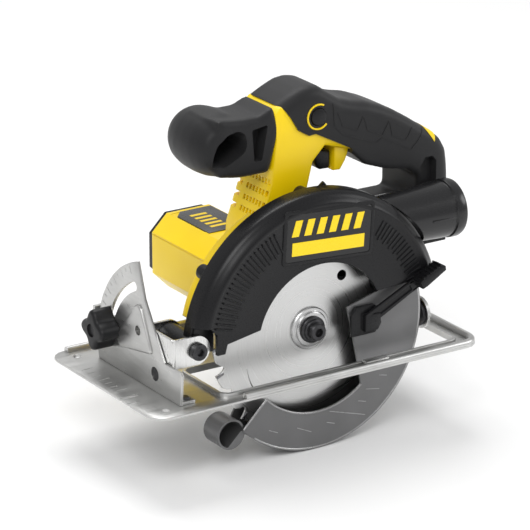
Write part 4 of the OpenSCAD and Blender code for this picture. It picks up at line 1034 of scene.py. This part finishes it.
# slots across the front of the neck, in two groups, and the room for the motor housing
for row in range(4):
    z = 107 + 8.2 * row
    for slot_i in range(7):
        y = side_near + 2.5 + 4.1 * slot_i
        block(bm, (-44, y, z), (-14, y + 2.3, z + 3.6))
    block(bm, (-44, side_far - 9, z), (-14, side_far + 2, z + 3.6))
carve(neck, object_from(bm, "neck_cuts"))
bm = bmesh.new()
slab(bm, eight_sided(barrel_w + 0.6, barrel_h + 0.6, 13), barrel_from - 0.4, 150)
carve(neck, object_from(bm, "barrel_room"))
bm = bmesh.new()
block(bm, (-60, side_near - 1, 0), (26, 40.3, motor.z + barrel_h / 2 + 4))
lathe(bm, [(27.3, 12), (27.3, 38.6), (0.01, 38.6), (0.01, 12)], (arbor.x, 0, arbor.z), "Y", 96)
carve(neck, object_from(bm, "case_room"))
fit(neck, "housing", yellow, "handle_near", "handle_far", sharp=24)
dress(black_steel, "handle_screws", "guard_screws")


# ---- Trigger and lock-off ----
# The trigger is a hollow black lever with a scooped front. The lock-off is a round button
# that passes through the handle, with a yellow ring moulded round it on each side.
bm = bmesh.new()
slab(bm, [(trigger_low.x + 0.3, trigger_high.z), (trigger_low.x + 0.1, trigger_high.z - 5), (trigger_low.x + 1.3, trigger_high.z - 10),
          (trigger_low.x + 3.4, trigger_low.z + 2.4), (trigger_low.x + 6.5, trigger_low.z + 0.2), (trigger_high.x - 1.5, trigger_low.z),
          (trigger_high.x, trigger_low.z + 2), (trigger_high.x, trigger_high.z - 4)],
     trigger_low.y, trigger_high.y, 1.8, 3)
fit(object_from(bm, "trigger_lever"), "trigger", lever_black, "trigger", sharp=40)
bm = bmesh.new()
lathe(bm, [(0.01, lock_low.y), (5, lock_low.y), (6.1, lock_low.y + 0.4), (6.5, lock_low.y + 1.3), (6.5, lock_high.y - 1.3),
           (6.1, lock_high.y - 0.4), (5, lock_high.y), (0.01, lock_high.y)], (lock.x, 0, lock.z), "Y", 64)
fit(object_from(bm, "lock_off_button"), "lock_off", lever_black, "lock_off")
for name, place in (("near", side_near - 1.7), ("far", side_far + 1.7)):
    route = [(x, place, z) for x, z in ring_points(9.2, 62, 318, 32, (lock.x, lock.z))]
    fit(wire("lock_off_ring_" + name, route, 0.75), "housing", yellow)


# ---- Front handle ----
# One hollow soft-touch moulding that stands across the front of the neck: a thick rounded
# loop with a finger hole through it, and a base that wraps round the neck.
front_low, front_high = corners("front_handle")
loop_x, loop_z = -50, 164
bm = bmesh.new()
lathe(bm, [(0.01, 28.8), (15, 28.8), (18.6, 31), (21.5, 37), (23.4, 45), (24, 55), (23.6, 66), (22, 75), (18.5, 82),
           (12, 85.6), (0.01, 86)], (loop_x, 0, loop_z), "Y", 64)
slab(bm, [(-60, 187), (-40, 184.5), (-24, 184.5), (-12, 189.5), (-5.5, 175), (-15.5, 141), (-40, 141), (-58, 144)],
     side_near + 1, side_far - 2, 3.5, 3)
front = object_from(bm, "front_handle_loop")
remould(front, 1.5, 14)
finger_hole = [(-63, 152), (-62.5, 160), (-59, 169), (-52, 175.5), (-43, 177.5), (-37, 175), (-34.8, 167), (-37, 160.5),
               (-44, 156.5), (-54, 152)]
carve(front, prism(finger_hole, 10, 79, corner=2.4))
carve(front, prism([(-31, 176), (-17.5, 178), (-22.5, 152), (-29, 151.5)], 10, 38, corner=1.6))
fit(front, "housing", rubber, "front_handle", sharp=40)

# ---- Gear case and spindle lock ----
# A die-cast magnesium case between guard and motor, with a fine sand-cast skin. The lock is a
# black push button on a steel pin that holds the spindle while the blade is changed.
cast_grey = blackened_steel("cast_magnesium", (0.30, 0.30, 0.31), 0.48)
dress(cast_grey, "gear_case")
dress(black_moulding, "spindle_lock")


# ---- Depth lever ----
# A black moulded cam lever on the end of the depth clamping bolt: a round hub, a tapered arm
# and a thumb end. It turns with the bolt beside the depth guide.
lever_low, lever_high = corners("depth_lever")
hub_r = 8.5
hub_x, hub_z = lever_low.x + hub_r, lever_low.z + hub_r
bm = bmesh.new()
lathe(bm, [(3.3, lever_low.y), (8, lever_low.y), (8.5, lever_low.y + 0.8), (8.5, lever_low.y + 6),
           (7.6, lever_low.y + 7), (3.3, lever_low.y + 7)], (hub_x, 0, hub_z), "Y", 56)
depth_lever = object_from(bm, "depth_lever_hub")
bm = bmesh.new()
slab(bm, [(hub_x + 5, hub_z - 6), (hub_x + 30, hub_z - 4.2), (hub_x + 42, hub_z - 5.6), (hub_x + 49, hub_z - 5),
          (hub_x + 52.6, hub_z), (hub_x + 49, hub_z + 5), (hub_x + 42, hub_z + 5.6), (hub_x + 30, hub_z + 4.2),
          (hub_x + 5, hub_z + 6)], lever_low.y + 1, lever_low.y + 6.8, 1.4, 3)
carve(depth_lever, object_from(bm, "depth_lever_arm"), "UNION")
fit(depth_lever, "depth_lever", lever_black, "depth_lever")


# ---- Motor, bearings and gears ----
# The parts inside the housing: a zinc-plated can with ferrite magnets round a copper-wound
# armature, hardened bearings, shafts and pinion, and a nylon fan.
zinc = drawn_steel("zinc_plate", (0.55, 0.56, 0.57), 0.35, (1, 1, 1))
hardened = drawn_steel("hardened_steel", (0.66, 0.66, 0.66), 0.22, (1, 1, 1))
copper = drawn_steel("copper_wire", (0.80, 0.36, 0.20), 0.32, (1, 0.1, 1))
brass = drawn_steel("brass", (0.82, 0.62, 0.28), 0.3, (1, 1, 1))
ferrite = blackened_steel("ferrite", (0.05, 0.05, 0.055), 0.55)
graphite = blackened_steel("graphite", (0.03, 0.03, 0.032), 0.5)
nylon = moulded("fan_nylon", (0.03, 0.03, 0.033), 0.45)
dress(zinc, "stator_can", "guard_retainer")
dress(hardened, "motor_bearings", "spindle_bearings", "spindle", "motor_shaft", "pinion", "guard_spring")
dress(copper, "windings", "commutator")
dress(brass, "brush_holders", "battery_terminals")
dress(ferrite, "magnets")
dress(graphite, "brushes")
dress(nylon, "cooling_fan")


# ---- Switch, leads and battery seat ----
# The switch is a sealed black module over the trigger, with two red insulated leads. The
# battery slides on two moulded rails under the foot, onto brass blades.
lead_red = moulded("lead_insulation", (0.55, 0.02, 0.015), 0.4)
dress(black_moulding, "switch_body", "battery_rails")
dress(lead_red, "lead_wires")
